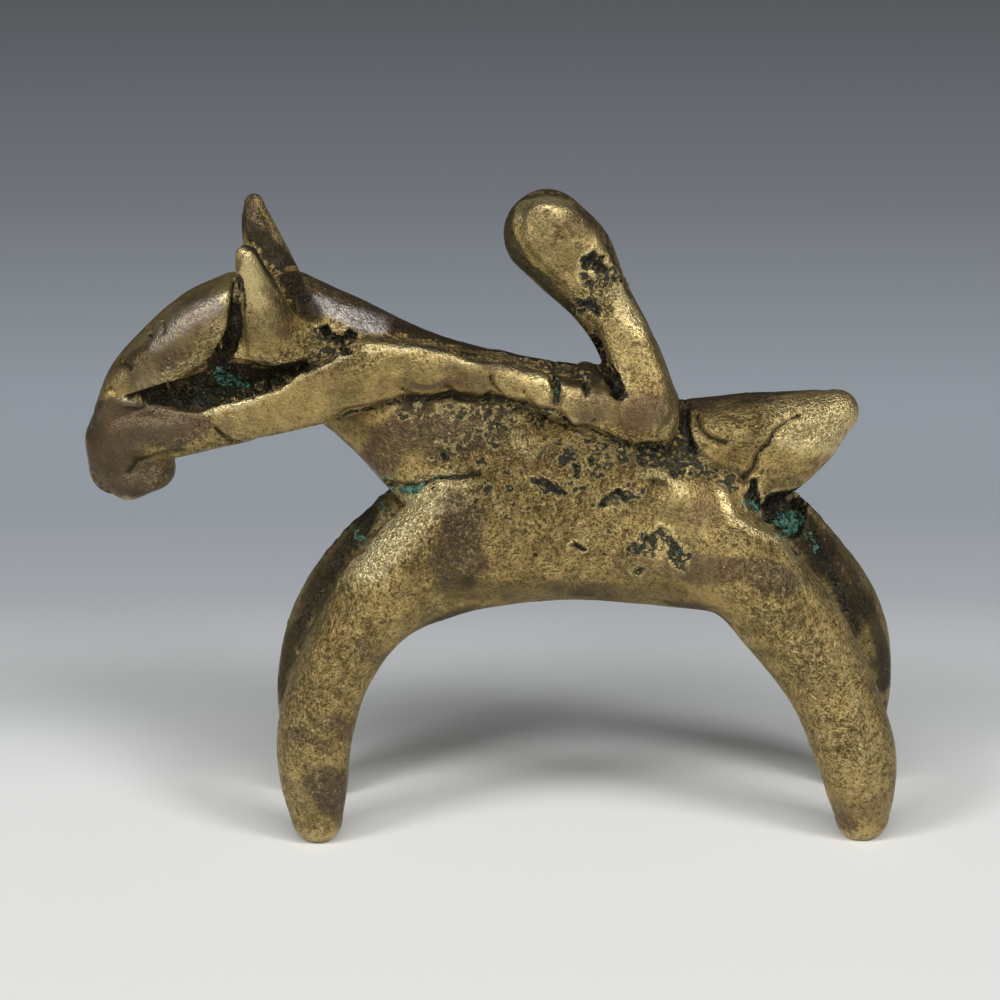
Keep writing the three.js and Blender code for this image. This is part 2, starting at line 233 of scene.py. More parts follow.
near_thigh = placed(-STRIP_OUT, STRIP_WIDE, [
    (13.3, -0.6, 38, 2.7, 0.4), (12.7, 0.4, 41.2, 2.2, 0.3), (10.8, 2.2, 45, 2, 0.1),
    (9.4, 3.6, 47.4, 1.9, -0.1),
])
near_web = [(7.8, -2.6, 40.9, 1.1, 2.3), (10, -2.8, 39.6, 1.5, 2.7)]
cantle = [
    (17.5, 0, 35.2, 2.8, 4.8), (21.5, 0, 35.5, 2.8, 4.6), (25.2, 0, 36.1, 2.5, 3.9), (28, 0, 36.8, 2, 3),
]
tail = [
    (TAIL_TIP - 11, 0, 30, 3.2, 4.6), (TAIL_TIP - 6.4, 0, 32.2, 3.4, 4.2),
    (TAIL_TIP - 2.5, 0, 35.2, 2.9, 3.4), (TAIL_TIP - 0.2, 0, 37, 2, 2.4),
]

ovals = [near_hoop, far_hoop, torso, chest, neck, mane, cantle, tail]
ovals += [skull, muzzle, lip, chin, near_cheek, mirrored(near_cheek, 0.8), near_ear, far_ear]
ovals += [near_web, mirrored(near_web, 1.8)]
flats = [brow, jaw, rider, near_strip, mirrored(near_strip, 1.6), near_thigh, mirrored(near_thigh, 1.8)]


# Meshes and their arrays
def shown(name, data):
    """An object for a mesh, a light or a camera, linked to the scene."""
    made = bpy.data.objects.new(name, data)
    scene.collection.objects.link(made)
    return made


def new_object(name, points, faces):
    """An object with a mesh of those points and faces."""
    mesh = bpy.data.meshes.new(name)
    mesh.from_pydata(points.tolist(), [], faces.tolist())
    mesh.update()
    return shown(name, mesh)


def finished(made):
    """The object's mesh with its modifiers applied; the object itself goes."""
    graph = bpy.context.evaluated_depsgraph_get()
    mesh = bpy.data.meshes.new_from_object(made.evaluated_get(graph))
    old = made.data
    bpy.data.objects.remove(made)
    bpy.data.meshes.remove(old)
    return mesh


def rows(items, name, kind):
    """One property of a mesh's points, edges or triangles, a row of an array for each."""
    values = np.empty((len(items), len(getattr(items[0], name))), kind)
    items.foreach_get(name, values.ravel())
    return values


def arrays(mesh):
    """Points, edges and triangles of a mesh as arrays."""
    mesh.calc_loop_triangles()
    edges, triangles = (rows(items, "vertices", int) for items in (mesh.edges, mesh.loop_triangles))
    return rows(mesh.vertices, "co", float), edges, triangles


def gather(index, values, count):
    """Sums of values that share an index, column by column."""
    return np.stack([np.bincount(index, column, count) for column in values.T], 1)


def directions(points, triangles):
    """Unit normal of each point: the mean of its triangles' normals, weighted by area."""
    a, b, c = (points[triangles[:, i]] for i in range(3))
    face = np.cross(b - a, c - a)
    total = sum(gather(triangles[:, i], face, len(points)) for i in range(3))
    return total / np.maximum(np.linalg.norm(total, axis=1, keepdims=True), 1e-12)


def softened(values, edges, rounds):
    """Each value drawn half of the way to the mean of its neighbours in each round."""
    count = len(values)
    ends = np.concatenate([edges[:, 0], edges[:, 1]])
    others = np.concatenate([edges[:, 1], edges[:, 0]])
    order = np.maximum(np.bincount(ends, minlength=count), 1)[:, None]
    values = values.reshape(count, -1)
    for _ in range(rounds):
        values = values + 0.5 * (gather(ends, values[others], count) / order - values)
    return values


# Steps and noise
def smoothstep(value, low, high):
    """0 below low, 1 above high, and 3t^2 - 2t^3 between."""
    t = np.clip((value - low) / (high - low), 0, 1)
    return t * t * (3 - 2 * t)


def between(value, rise, whole, fall, gone, share=1.0):
    """share where value lies from whole to fall, down to 0 at rise and at gone."""
    return share * smoothstep(value, rise, whole) * (1 - smoothstep(value, fall, gone))


def area(x, z, along_body, in_height):
    """1 in an area of the middle plane, with the four limits of between along the body and in height."""
    return between(z, *in_height, between(x, *along_body))


def bell(value, middle, width):
    """1 at the middle and fading on both sides: exp(-((value - middle) / width)^2)."""
    return np.exp(-(((value - middle) / width) ** 2))


# The noise lattice is turned, so that none of its planes lies along the figure
LATTICE_TURN = np.array([[2, -1, 2], [2, 2, -1], [-1, 2, 2]]) / 3
CELL_PRIMES = np.array([73856093, 19349663, 83492791])


def hashed(cell, seed):
    """A number from 0 to 1 for each whole-number cell: its primes' sum, shifted and multiplied till mixed."""
    h = (cell * CELL_PRIMES).sum(-1) + seed * 40503
    h = (h ^ (h >> 13)) * 1274126177
    h = (h ^ (h >> 16)) * 668265263
    return ((h ^ (h >> 15)) & 0xFFFFF) / 0xFFFFF


def wander(points, wavelength, seed):
    """Smooth noise from -1 to 1: random values at the corners of a turned lattice, blended between them."""
    q = points @ LATTICE_TURN / wavelength + 0.37 * seed
    cell = np.floor(q).astype(np.int64)
    t = q - cell
    t = t * t * (3 - 2 * t)
    total = np.zeros(len(points))
    for corner in itertools.product((0, 1), repeat=3):
        weight = np.prod(np.where(corner, t, 1 - t), axis=1)
        total += weight * hashed(cell + corner, seed)
    return 2 * total - 1


def rugged(points, wavelength, seed, octaves=3):
    """Sum of wander at halving wavelengths and heights."""
    return sum(wander(points, wavelength / 2**i, seed + i) / 2**i for i in range(octaves))


def dimples(points, spacing, seed, small, large):
    """Round pits scattered through space: 1 in a pit's middle, 0 outside.

    One pit lies somewhere in every second cell of a lattice, with a radius from small to large.
    """
    q = points / spacing
    cell = np.floor(q).astype(np.int64)
    deepest = np.zeros(len(points))
    for step in itertools.product((-1, 0, 1), repeat=3):
        c = cell + step
        middle = c + np.stack([hashed(c, seed + i) for i in range(3)], -1)
        radius = small + (large - small) * hashed(c, seed + 3) ** 2
        far = np.linalg.norm(q - middle, axis=1) * spacing / radius
        there = hashed(c, seed + 4) < 0.5
        deepest = np.maximum(deepest, np.where(there, np.clip(1 - far**2, 0, 1), 0))
    return deepest


# Places on the middle plane, where all marks are given. In millimetres: the size of a cell of view,
# how far behind its nearest point a point still shows, and a distance that stands for far outside.
SIGHT_CELL = 0.5
SIGHT_SLACK = 1.0
OUTSIDE = -9.0


def eye_of(side):
    """The camera's place for the near side, -1, and its mirror image for the far side, 1."""
    return EYE * np.array([1, -side, 1])


def sighted(points, side):
    """Where each point appears on the middle plane, seen by the eye of that side."""
    eye = eye_of(side)
    share = eye[1] / (eye[1] - points[:, 1])
    return eye[0] + (points[:, 0] - eye[0]) * share, eye[2] + (points[:, 2] - eye[2]) * share


def in_sight(points, normals, side):
    """Which points the eye of that side sees: those that face it, nearest of all in their cell of view."""
    ray = eye_of(side) - points
    away = np.linalg.norm(ray, axis=1)
    facing = (normals * ray).sum(1) / away
    x, z = sighted(points, side)
    i = ((x - x.min()) / SIGHT_CELL).astype(int)
    j = ((z - z.min()) / SIGHT_CELL).astype(int)
    key = i * (j.max() + 1) + j
    nearest = np.full(key.max() + 1, 1e9)
    np.minimum.at(nearest, key, away)
    return (facing > 0.02) & (away < nearest[key] + SIGHT_SLACK)


def from_line(x, z, line):
    """Distance of each (x, z) from a line of points."""
    best = np.full(len(x), 1e9)
    for a, b in zip(line, line[1:]):
        u = b - a
        t = ((x - a.real) * u.real + (z - a.imag) * u.imag) / (u.real * u.real + u.imag * u.imag + 1e-12)
        t = np.clip(t, 0, 1)
        best = np.minimum(best, np.hypot(x - a.real - t * u.real, z - a.imag - t * u.imag))
    return best


def in_outline(x, z, outline):
    """Distance of each (x, z) inside a closed outline, negative outside."""
    closed = [*outline, outline[0]]
    within = np.zeros(len(x), bool)
    for a, b in zip(closed, closed[1:]):
        crosses = (a.imag > z) != (b.imag > z)
        within ^= crosses & (x < a.real + (z - a.imag) * (b.real - a.real) / (b.imag - a.imag + 1e-12))
    far = from_line(x, z, closed)
    return np.where(within, far, -far)


# Relief and marks, by where they appear on the middle plane. A point is written x + zj, in millimetres.
# Outlines of areas pressed in or left standing
HOLLOW = [
    -31.8+37.8j, -30.5+38.2j, -28.6+38.8j, -26.4+39.3j, -24.9+39.9j, -24.4+40.8j, -23.9+41.9j, -23.3+42.9j,
    -22.9+43.8j, -22.8+44.8j, -22.6+46.6j, -22.4+48.4j, -21.9+48.4j, -21.7+46.5j, -21.7+44.8j, -21.9+43.4j,
    -22.4+42j, -23+41.2j, -22+40.9j, -20.4+40.6j, -19.1+40.4j, -17.7+40.6j, -16.1+41.1j, -14.4+41.7j,
    -14.2+41.2j, -15.6+40.4j, -16.7+39.9j, -17.8+39.2j, -19.1+38.4j, -20.5+38j, -22.1+37.5j, -23.7+37.1j,
    -25.2+36.6j, -26.4+36.6j, -28.6+37.1j, -30.5+37.3j,
]
SHELF = [
    -24+40.6j, -22.6+40.5j, -21+40.1j, -19.6+39.5j, -20.4+38.9j, -22+38.8j, -23.8+39.3j,
]
SLOT = [
    8.5+43.2j, 9.1+42.7j, 9.6+41.4j, 10.1+40.5j, 10.8+39.6j, 11.1+38.4j, 10.6+37.7j, 10.2+38.1j, 9.7+39.3j,
    9.1+40.2j, 8.6+41.4j, 8.2+42.7j,
]
FACET = [
    2.6+53j, 2.7+54.2j, 3.6+55j, 5.4+54.9j, 7.2+54.2j, 8.6+52.6j, 9.8+50.2j, 11.2+47.4j, 12.8+44.6j,
    14.6+40j, 15.4+36.6j, 13.8+34.4j, 11+35.2j, 10.8+39j, 9.6+42.6j, 8.8+44.8j, 6.2+47.6j, 3.8+50.2j,
    2.6+51.8j,
]
EAR = [
    -21.4+50.5j, -20.8+51j, -20.2+50.5j, -19.2+49j, -18.6+47.7j, -17.9+46.4j, -17.3+45.2j, -16.5+44.9j,
    -15.3+44.8j, -14.5+43.5j, -14.2+41.8j, -16.1+41.2j, -17.7+40.8j, -19.1+40.6j, -20.4+40.8j, -21.2+41.6j,
    -21.4+44j, -21.6+46.8j, -21.9+49j,
]

# Outline, height, softness of its edge
RELIEF = [(HOLLOW, -1.2, 0.18), (SHELF, 0.35, 0.3), (SLOT, -1.6, 0.2), (FACET, 0.34, 0.42), (EAR, 0.3, 0.25)]

# Holes and torn places: depth, how black the bottom is painted (shade and crust), outline
HOLES = [
    (0.6, 0.55, 7.5+49.8j, 8+50.4j, 8.5+50.8j, 8.8+50.4j, 9.2+50.2j, 9.5+50.3j, 9.2+49.7j, 9.7+49.3j,
     9.8+48.8j, 9.2+48.8j, 8.3+49.2j, 7.7+49.1j),
    (0.3, 0.45, 7.3+48.8j, 7.9+48.8j, 8.5+48.2j, 8.4+47.5j, 7.8+47.7j, 7.5+48.2j),
    (0.45, 0.5, 6.9+46.6j, 7.7+46.4j, 8.8+46.3j, 9.2+45.5j, 9+44.9j, 8.2+45.6j, 7.2+46j),
    (0.3, 0.8, 10+48.5j, 10.4+48.4j, 10.5+48j, 10.1+48.1j), (0.2, 0.6, 10.6+48.5j, 11.2+48.2j, 10.9+47.9j),
    (0.6, 1, -15.2+44j, -14.3+44.2j, -14+43.4j, -13.1+43.1j, -12.5+43.9j, -11.8+43.4j, -12+42.7j,
     -12.8+42.3j, -13.8+42.8j, -14.7+43.1j),
    (0.35, 0.9, -13.4+42.1j, -12.4+42.2j, -12.2+41.6j, -13.1+41.5j),
    (0.5, 0.8, 4.7+40.3j, 5.3+40.6j, 5.6+39.7j, 5.7+38.3j, 5.3+38.1j, 4.8+39.2j),
    (0.3, 0.7, 7.5+38.8j, 8+39.4j, 8.4+38.6j, 8+37.9j),
    (0.35, 0.5, 2.9+30.5j, 3.9+30.6j, 4.7+30.3j, 5.4+30j, 6+29.5j, 6.7+28.8j, 5.7+28.9j, 5+29.3j, 4.3+29.7j,
     3.4+30j),
    (0.35, 0.6, 9.1+28j, 9.4+28.6j, 10.3+29.4j, 10.8+29.6j, 11.3+29.2j, 11.8+28.8j, 11.3+28.4j, 10.7+28.8j,
     10.1+28.4j, 9.6+27.8j),
    (0.25, 0.6, 6.6+24.4j, 7.1+24.7j, 7.7+24.3j, 8+24j, 7.2+24j),
    (0.25, 0.7, 8+32.3j, 9.1+32.4j, 9+31.8j, 8.4+31.6j),
    (0.25, 0.6, 6.8+31.8j, 7.4+31.5j, 7.3+30.4j, 6.8+30.7j),
    (0.3, 0.3, 12.3+33.3j, 13.1+33.5j, 14.1+33.1j, 14.6+33.5j, 15.3+33.9j, 15.9+34.1j, 16.4+34j, 16.8+33.2j,
     17.2+32.3j, 16.7+31.5j, 16.2+30.8j, 15.6+30.4j, 15.3+31j, 14.6+31.4j, 14.4+31.8j, 13.6+31.5j,
     12.8+31.6j, 12.4+32.3j),
    (0.28, 0.35, 13.9+25.6j, 14.4+26.2j, 15+25.9j, 15.4+25.2j, 15.9+24.6j, 16.4+24j, 16.5+23.4j, 16.2+23j,
     16.8+22j, 16.5+21.9j, 15.9+22.7j, 15.3+23.2j, 15+23.8j, 15.5+24j, 15+24.7j, 14.4+25.1j),
    (0.22, 0.35, 12.1+23.6j, 12.6+24.3j, 13.2+24.7j, 12.7+25.2j, 12.8+25.8j, 13.3+25.4j, 13.9+25.6j,
     14.2+24.3j, 13.7+23.8j, 13.5+24.3j, 12.8+24j, 12.6+23.5j),
    (0.2, 0.3, 12.1+22j, 12.6+22.5j, 13.2+22.2j, 12.7+21.7j),
    (0.6, 0.8, 22.3+30.5j, 22.9+30.4j, 23+29j, 23.3+27.8j, 22.6+27.1j, 22.1+27.8j, 21.8+29j, 22.2+29.7j),
    (0.9, 0.9, 23.3+27.8j, 23.7+28.7j, 24.5+29.1j, 25.6+29.2j, 26.4+29.5j, 27.2+29.6j, 27.4+29j, 27.2+27.5j,
     27+26.1j, 26.6+25.3j, 25.7+24.8j, 25.1+25.3j, 24.2+26.1j, 23.4+26.8j),
    (0.25, 0.7, -4.9+33.2j, -4.2+32.8j, -4+31.9j, -4.5+32.1j),
]

# Lines pressed in, or standing up where the depth is negative: half width, depth, line
GROOVES = [
    # brow: nicks on its front edge and the rim of its lower edge
    (0.22, 0.4, -29.9+44.6j, -29.8+43.1j), (0.22, 0.35, -28.7+44.9j, -28.6+43.6j),
    (0.25, 0.4, -32.6+41.5j, -31.6+40.4j), (0.2, 0.3, -33.3+38.6j, -32.3+37.5j),
    # jaw: the thin bright ridge above it, its crack and the groove of the lip
    (0.3, -0.24, -33.2+38.2j, -32.2+37.3j, -30.5+37j, -28.6+36.7j, -26.4+36.2j, -25.4+36.1j, -23.7+36.8j,
     -22.1+37.1j, -20.5+37.6j, -19.1+38j, -17.8+38.8j, -16.7+39.6j, -15.6+40.2j, -14+40.8j, -12.6+41.7j),
    (0.22, 0.4, -24.2+34.9j, -23.5+34.2j, -22.7+33.8j, -21.8+33.7j),
    (0.2, 0.12, -25.4+36j, -24.6+35.1j, -24.2+34.9j),
    (0.26, 0.3, -31.7+31j, -31+31.9j, -29.8+32.3j, -28.4+32.7j, -27.2+32.8j),
    (0.28, 0.25, -34.9+30.6j, -33.6+29.4j, -33+28.7j),
    # shoulder: the broad ridge that catches the light
    (1.2, -0.55, -4.4+29.9j, -7.6+26.8j, -9.8+24.2j, -12.4+21.2j),
    # strip: its upper rim, its scalloped lower edge and the notches between the scallops
    (0.35, -0.16, -11+42.3j, -7.3+42.2j, -5+41.9j, -3.8+41.5j, -2.7+40.9j, -0.9+40.5j, 0.8+40.6j, 2.2+40.3j,
     3.7+39.8j, 4.4+39.3j),
    (0.32, 0.45, -13.6+35.9j, -12.5+36.4j, -9.6+37j, -7.6+37.6j, -5.6+37.5j, -3.8+37.9j, -2.4+37.5j,
     -0.9+37.5j, -0.2+38j, 0.4+37.6j, 1.9+37j, 2.8+37.3j, 3.6+36.8j, 5.4+36.6j, 6+36j, 6.8+35.1j, 8.6+34.8j,
     10.3+33.9j, 12.1+33.3j, 14.1+33.1j, 15.4+33.7j, 16.1+34.8j, 16.5+36.9j, 16.4+38.4j),
    (0.2, 0.42, -0.4+39.6j, 0+38.6j, 0.9+37.6j), (0.2, 0.3, -4.1+38.6j, -3.4+38.1j, -2.6+37.7j),
    (0.2, 0.3, -8+38.4j, -7.4+38j, -6.4+37.7j), (0.2, 0.3, 2.5+38.3j, 2.8+37.8j, 3.5+37j),
    (0.38, 0.55, 4.9+41j, 5.2+39.6j, 5.4+38.4j, 5.3+37.2j), (0.2, 0.25, 7.8+39j, 7.9+37.9j),
    (0.15, 0.12, -9+41j, -9.3+39.2j),
    # crack between neck and strip
    (0.3, 0.35, -9.6+43j, -8+43.1j, -5+42.7j, -3.2+41.9j, -2+41.3j, 0.2+41.2j, 2+41.2j, 4.8+40.3j),
    # rider: curled cracks
    (0.15, 0.24, 5.1+53j, 5.6+52.6j, 5.4+52.1j, 6+51.8j), (0.15, 0.22, 6.2+52.9j, 6.6+52.5j, 6.8+51.9j),
    # flank: the joint below the strip filled, the fold of the chest, small cracks
    (0.8, -0.45, 4.2+36.4j, 5.4+35.7j, 6.8+34.9j),
    (0.34, 0.5, -9.9+30j, -8.1+29.7j, -6.6+29.8j, -4.9+30.5j, -3+30.5j, -1.5+30.8j),
    (0.25, 0.2, -4.9+33j, -4.3+32.6j, -4.1+32j),
    (0.16, 0.16, -4+29.6j, -3.8+28.4j, -2.6+27.8j, -1.5+28.6j, -1.5+29.7j),
    # rear: the joints of saddle back, tail and thigh, and the rim of the near thigh
    (0.34, 0.5, 16.4+38j, 16.5+34.6j, 17.1+33.2j),
    (0.22, 0.28, 17.1+33.2j, 18.2+32j, 19.4+31.3j, 20.8+30.7j),
    (0.24, 0.42, 17.5+36.4j, 17.9+35.2j, 18.7+34.2j, 20+33.6j), (0.2, 0.25, 20.2+36.3j, 21.4+35.8j),
    (0.2, 0.2, 21.8+36j, 22.7+36.1j),
    (0.26, 0.4, 26.4+36.2j, 25.5+35.7j, 24.4+34.8j, 23.8+33.6j, 22.9+32.7j, 22.5+31.4j, 21.7+30.6j),
    (0.4, -0.2, 20+29.2j, 20.8+27j, 22.5+25.8j, 24.4+25j, 25.1+24.4j, 26.3+22.8j, 27+21.2j),
    (0.14, 0.12, 22.1+23.5j, 23.2+23.4j, 24.9+22.9j),
]

# Pits: middle, half width, half height, depth
PITS = [
    (4.6+54.3j, 0.2, 0.25, 0.2), (8.65+35.6j, 0.25, 0.25, 0.3), (-1.6+41.3j, 0.45, 0.3, 0.35),
    (3.4+40.7j, 0.7, 0.35, 0.35), (3.6+23.4j, 0.3, 0.22, 0.25), (9.6+23.6j, 0.25, 0.2, 0.2),
    (13.9+30.2j, 0.2, 0.25, 0.2),
]

# Where the cast skin is eaten away: half width, softness, strength, line
EATEN = [
    (0.5, 1.1, 0.68, -8+36.6j, -0.5+36.3j, 5.8+35.6j), (0.5, 1, 0.62, 3+34.6j, 9+33.6j),
    (0.4, 0.9, 0.72, 7+33.6j, 10.5+32.8j, 13+32.6j), (0.9, 0.5, 1, 13.2+32.6j, 16.4+32.6j, 16.2+31.4j),
    (0.9, 0.8, 0.74, 6.4+32.2j, 9.4+31.4j), (0.4, 0.7, 0.74, 17+31.6j, 19.4+30.8j, 20.8+29.8j),
    (0.5, 0.9, 0.66, 2.6+31j, 6.6+29.2j), (0.9, 0.8, 0.68, 12.2+24.8j, 16.2+23.4j),
    (0.7, 0.8, 0.66, 9+28.2j, 12.2+29.2j), (0.3, 0.8, 0.6, -3.6+29.5j, -1.6+28.2j),
    (3.2, 2.2, 0.42, -2+31.5j, 9+28j), (0.8, 0.9, 0.62, 0+34.4j, 3.6+33j),
    (0.4, 0.5, 0.8, -24+37.6j, -21.6+38.2j, -19+38.9j, -16.6+40.2j, -14.2+41.6j),
    (0.8, 0.6, 0.72, -14.6+43.6j, -12.4+42.6j), (0.5, 0.7, 0.64, 7.8+49.6j, 9.2+48.4j, 8.4+45.8j),
    (0.3, 0.6, 0.66, 10.4+49j, 11.2+47.6j), (0.4, 0.6, 0.64, 7.2+45.8j, 8.4+44j),
    (0.35, 0.5, 0.66, -1+41.6j, 4.6+40.6j, 8+39.6j), (0.2, 0.5, 0.62, -9.4+43.2j, -3+41.9j),
    (0.15, 0.5, 0.62, 22.2+23.4j, 25+22.8j), (0.7, 0.6, 0.86, 16.4+33.2j, 17.4+32.4j, 18.4+31j),
]

# Where the skin stands in crumbs, between the smooth faces: as above
CRUMBLY = [
    (3, 2, 1, -1+31j, 6+30j, 11+30.6j), (3, 2, 0.6, -4+24.6j, 4+25j, 10+25.6j),
    (0.7, 0.9, 1, 0.6+34.8j, 3.4+33j), (1.6, 1.2, 0.6, -5.4+28.6j, -9+25j), (2, 1.5, 0.35, -11+20j, -15+8j),
    (1.6, 1.8, 0.5, 22+21j, 27+15j, 30+6j), (1, 1, 0.8, 7.4+46.4j, 9.8+46.8j),
    (0.8, 0.8, 0.8, -15.6+42.6j, -12+41.6j), (1.4, 1.2, 0.7, 24+36j, 28.4+35.4j),
    (0.6, 0.9, 1, -17.6+47.6j, -15.8+45.6j), (0.6, 0.7, 1.1, -23.8+43j, -25.4+41.2j, -27.7+39.9j),
    (1, 1.2, 0.8, 27.4+26j, 31.4+18j), (0.8, 0.6, 1.3, -27.4+38j, -22+38.8j, -16+40.6j),
    (0.5, 0.5, 1, -24.6+40.6j, -22.6+43j), (1.4, 1.6, 0.9, -3.7+29.6j, -6.6+28j, -9+25j, -12.4+21.2j),
]


# How far the holes' edges wander and how high their rims stand, in millimetres
TEAR = 0.10
RIM = 0.05


def torn(x, z, points):
    """Distance inside the nearest hole, its depth and its blackness. Edges wander as torn metal does."""
    x = x + TEAR * rugged(points, 0.7, 201, 2)
    z = z + TEAR * rugged(points, 0.7, 211, 2)
    inside, deep, black = np.full(len(x), OUTSIDE), np.zeros(len(x)), np.zeros(len(x))
    for depth, dark, *outline in HOLES:
        d = in_outline(x, z, outline)
        nearer = d > inside
        inside = np.where(nearer, d, inside)
        deep = np.where(nearer, depth, deep)
        black = np.where(nearer, dark, black)
    return inside, deep, black


def marks(x, z, points):
    """How deep the areas, lines and pits go at each (x, z), with edges as ragged as old casting."""
    ragged = 1 + 0.4 * rugged(points, 0.8, 31)
    depth = np.zeros(len(x))
    for outline, height, soft in RELIEF:
        depth -= height * smoothstep(in_outline(x, z, outline), -soft, soft)
    inside, hole_deep, _ = torn(x, z, points)
    depth += hole_deep * smoothstep(inside, -0.12, 0.22) - RIM * bell(inside, -0.25, 0.16)
    cracks = np.zeros(len(x))
    for half, deep, *line in GROOVES:
        shape = bell(from_line(x, z, line), 0, half * ragged)
        if deep > 0:
            cracks = np.maximum(cracks, deep * shape)
        else:
            depth += deep * shape
    for middle, wide, high, deep in PITS:
        away = np.hypot((x - middle.real) / wide, (z - middle.imag) / high)
        cracks = np.maximum(cracks, deep * (1 - smoothstep(away / ragged, 0.5, 1.2)))
    return depth + cracks, cracks


def spots(groups, x, z):
    """The strongest of several patches at each point: whole near its line, fading over soft beyond half."""
    total = np.zeros(len(x))
    for half, soft, strength, *line in groups:
        total = np.maximum(total, strength * (1 - smoothstep(from_line(x, z, line), half, half + soft)))
    return total


# The far side has the near one's marks, a little higher and astray, in millimetres
FAR_RISE = 1.2
FAR_STRAY = 0.9


def both_sides(points, normals, measure):
    """A measure of (x, z, points) where the near eye sees and, wandering a little, where the far one does."""
    total = 0
    for side in (-1, 1):
        seen = in_sight(points, normals, side)
        x, z = sighted(points[seen], side)
        if side > 0:
            x = x + FAR_STRAY * wander(points[seen], 9.0, 61)
            z = z + FAR_RISE + 0.6 * wander(points[seen], 8.0, 62)
        values = np.array(measure(x, z, points[seen]))
        total = total + np.zeros((len(values), len(points)))
        total[:, seen] += values
    return total


def eaten(points, zone):
    """Above 0 where the cast skin is eaten away: ragged noise raised by the zone's strength."""
    crumbs = smoothstep(rugged(points, 0.6, 241, 2), 0.25, 0.7)
    return 1.6 * zone - 1.0 + 0.7 * rugged(points, 0.9, 141, 3) - 0.7 * crumbs


# The casting
def wax_model():
    """The rolls joined into one closed skin, in millimetres, lowered so that the feet stand on the floor."""
    points, faces, used = [], [], 0
    for stations, squareness in [(s, OVAL) for s in ovals] + [(s, FLATTENED) for s in flats]:
        p, f = roll(stations, squareness)
        points.append(p)
        faces.append(f + used)
        used += len(p)
    joined = new_object("wax", np.vstack(points) - (0, 0, FOOT_SINK), np.vstack(faces))
    skin = joined.modifiers.new("skin", "REMESH")
    skin.mode = "VOXEL"
    skin.voxel_size = VOXEL
    skin.adaptivity = 0
    return finished(joined)


# Height of the strip's lower edge along the body, and the place of the chest's front by height
STRIP_FOOT = ([-12, -9, -4, 0, 5, 8, 12, 16, 20], [35.6, 37.8, 38.9, 39.1, 38.6, 37.3, 35.5, 34.8, 33.4])
CHEST_FRONT = ([19, 24, 28, 30, 33, 36], [-5.0, -5.0, -7.0, -8.5, -10.5, -13.0])
# Areas pressed smooth
WAIST = (9.5, 12, 15, 17), (35.5, 37.5, 46, 49)
EAR_ROOT = (-19.5, -17.5, -14, -11.5), (41.5, 43, 46, 48)
LIP = (-34, -32.5, -30.5, -29), (29, 30.5, 33, 35)
REAR = (17, 19, 25, 27.5), (28, 30.5, 35.5, 37)


def pressed(points, edges):
    """The joints between rolls pressed smooth, most between body and flanks and at the rear."""
    x, _, z = points.T
    top = np.interp(x, *STRIP_FOOT)
    front = np.interp(z, *CHEST_FRONT)
    body = between(z, 19, 23, top - 1.2, top, between(x, front, front + 2, 17, 21))
    much = np.maximum(body, area(x, z, *REAR))
    some = np.maximum(np.maximum(area(x, z, *WAIST), area(x, z, *EAR_ROOT)), area(x, z, *LIP))
    light = softened(points, edges, 8)
    medium, heavy = softened(light, edges, 50), softened(light, edges, 150)
    points = light + much[:, None] * (heavy - light)
    return points + some[:, None] * (medium - points)


# Heights and depths of what fingers, casting and decay left on the skin, in millimetres.
# Crumbs and pits go deeper where the skin is crumbly, pits also where it is pitted, by the second number.
FINGER_WAVES = 0.15
FINGER_RIPPLES = 0.08
EATEN_DEPTH = 0.17
EATEN_RIM = 0.035
CRUMBS = (0.015, 0.08)
PIT_DEPTHS = (0.05, 0.08)
PRICK_DEPTHS = (0.04, 0.06)


def zones_at(x, z, points):
    """The depth of the marks, and how eaten and how crumbly the skin is."""
    return [marks(x, z, points)[0], spots(EATEN, x, z), spots(CRUMBLY, x, z)]


def cast(points, edges, triangles):
    """The pressed wax with finger waves, grain, marks and casting pits pushed in along its normals."""
    points = pressed(points, edges)
    waves = FINGER_WAVES * wander(points, 7.0, 1) + FINGER_RIPPLES * wander(points, 3.2, 2)
    face = directions(softened(points, edges, 12), triangles)
    depth, eaten_zone, crumbly = both_sides(points, face, zones_at)
    skin = eaten(points, eaten_zone)
    depth = depth + EATEN_DEPTH * smoothstep(skin, -0.05, 0.3) - EATEN_RIM * bell(skin, -0.12, 0.09)
    depth = depth + (CRUMBS[0] + CRUMBS[1] * crumbly) * rugged(points, 0.75, 5, 2)
    pitted = smoothstep(rugged(points, 7.0, 41), -0.4, 0.5)
    depth = depth + (PIT_DEPTHS[0] + PIT_DEPTHS[1] * pitted) * dimples(points, 1.3, 51, 0.2, 0.45)
    depth = depth + (PRICK_DEPTHS[0] + PRICK_DEPTHS[1] * crumbly) * dimples(points, 0.8, 71, 0.15, 0.32)
    points = points + face * (waves - depth)[:, None]
    points[:, 2] = np.maximum(points[:, 2], 0)
    return points


wax = wax_model()
rough_points, rough_edges, rough_triangles = arrays(wax)
rough_points = cast(rough_points, rough_edges, rough_triangles)
bpy.data.meshes.remove(wax)
raw = new_object("raw_casting", rough_points, rough_triangles)
thinner = raw.modifiers.new("thinner", "DECIMATE")
thinner.ratio = min(1.0, MOST_TRIANGLES / len(rough_triangles))
casting_mesh = finished(raw)
casting_mesh.name = "horse_and_rider_casting"
points, edges, triangles = arrays(casting_mesh)
normals = directions(points, triangles)
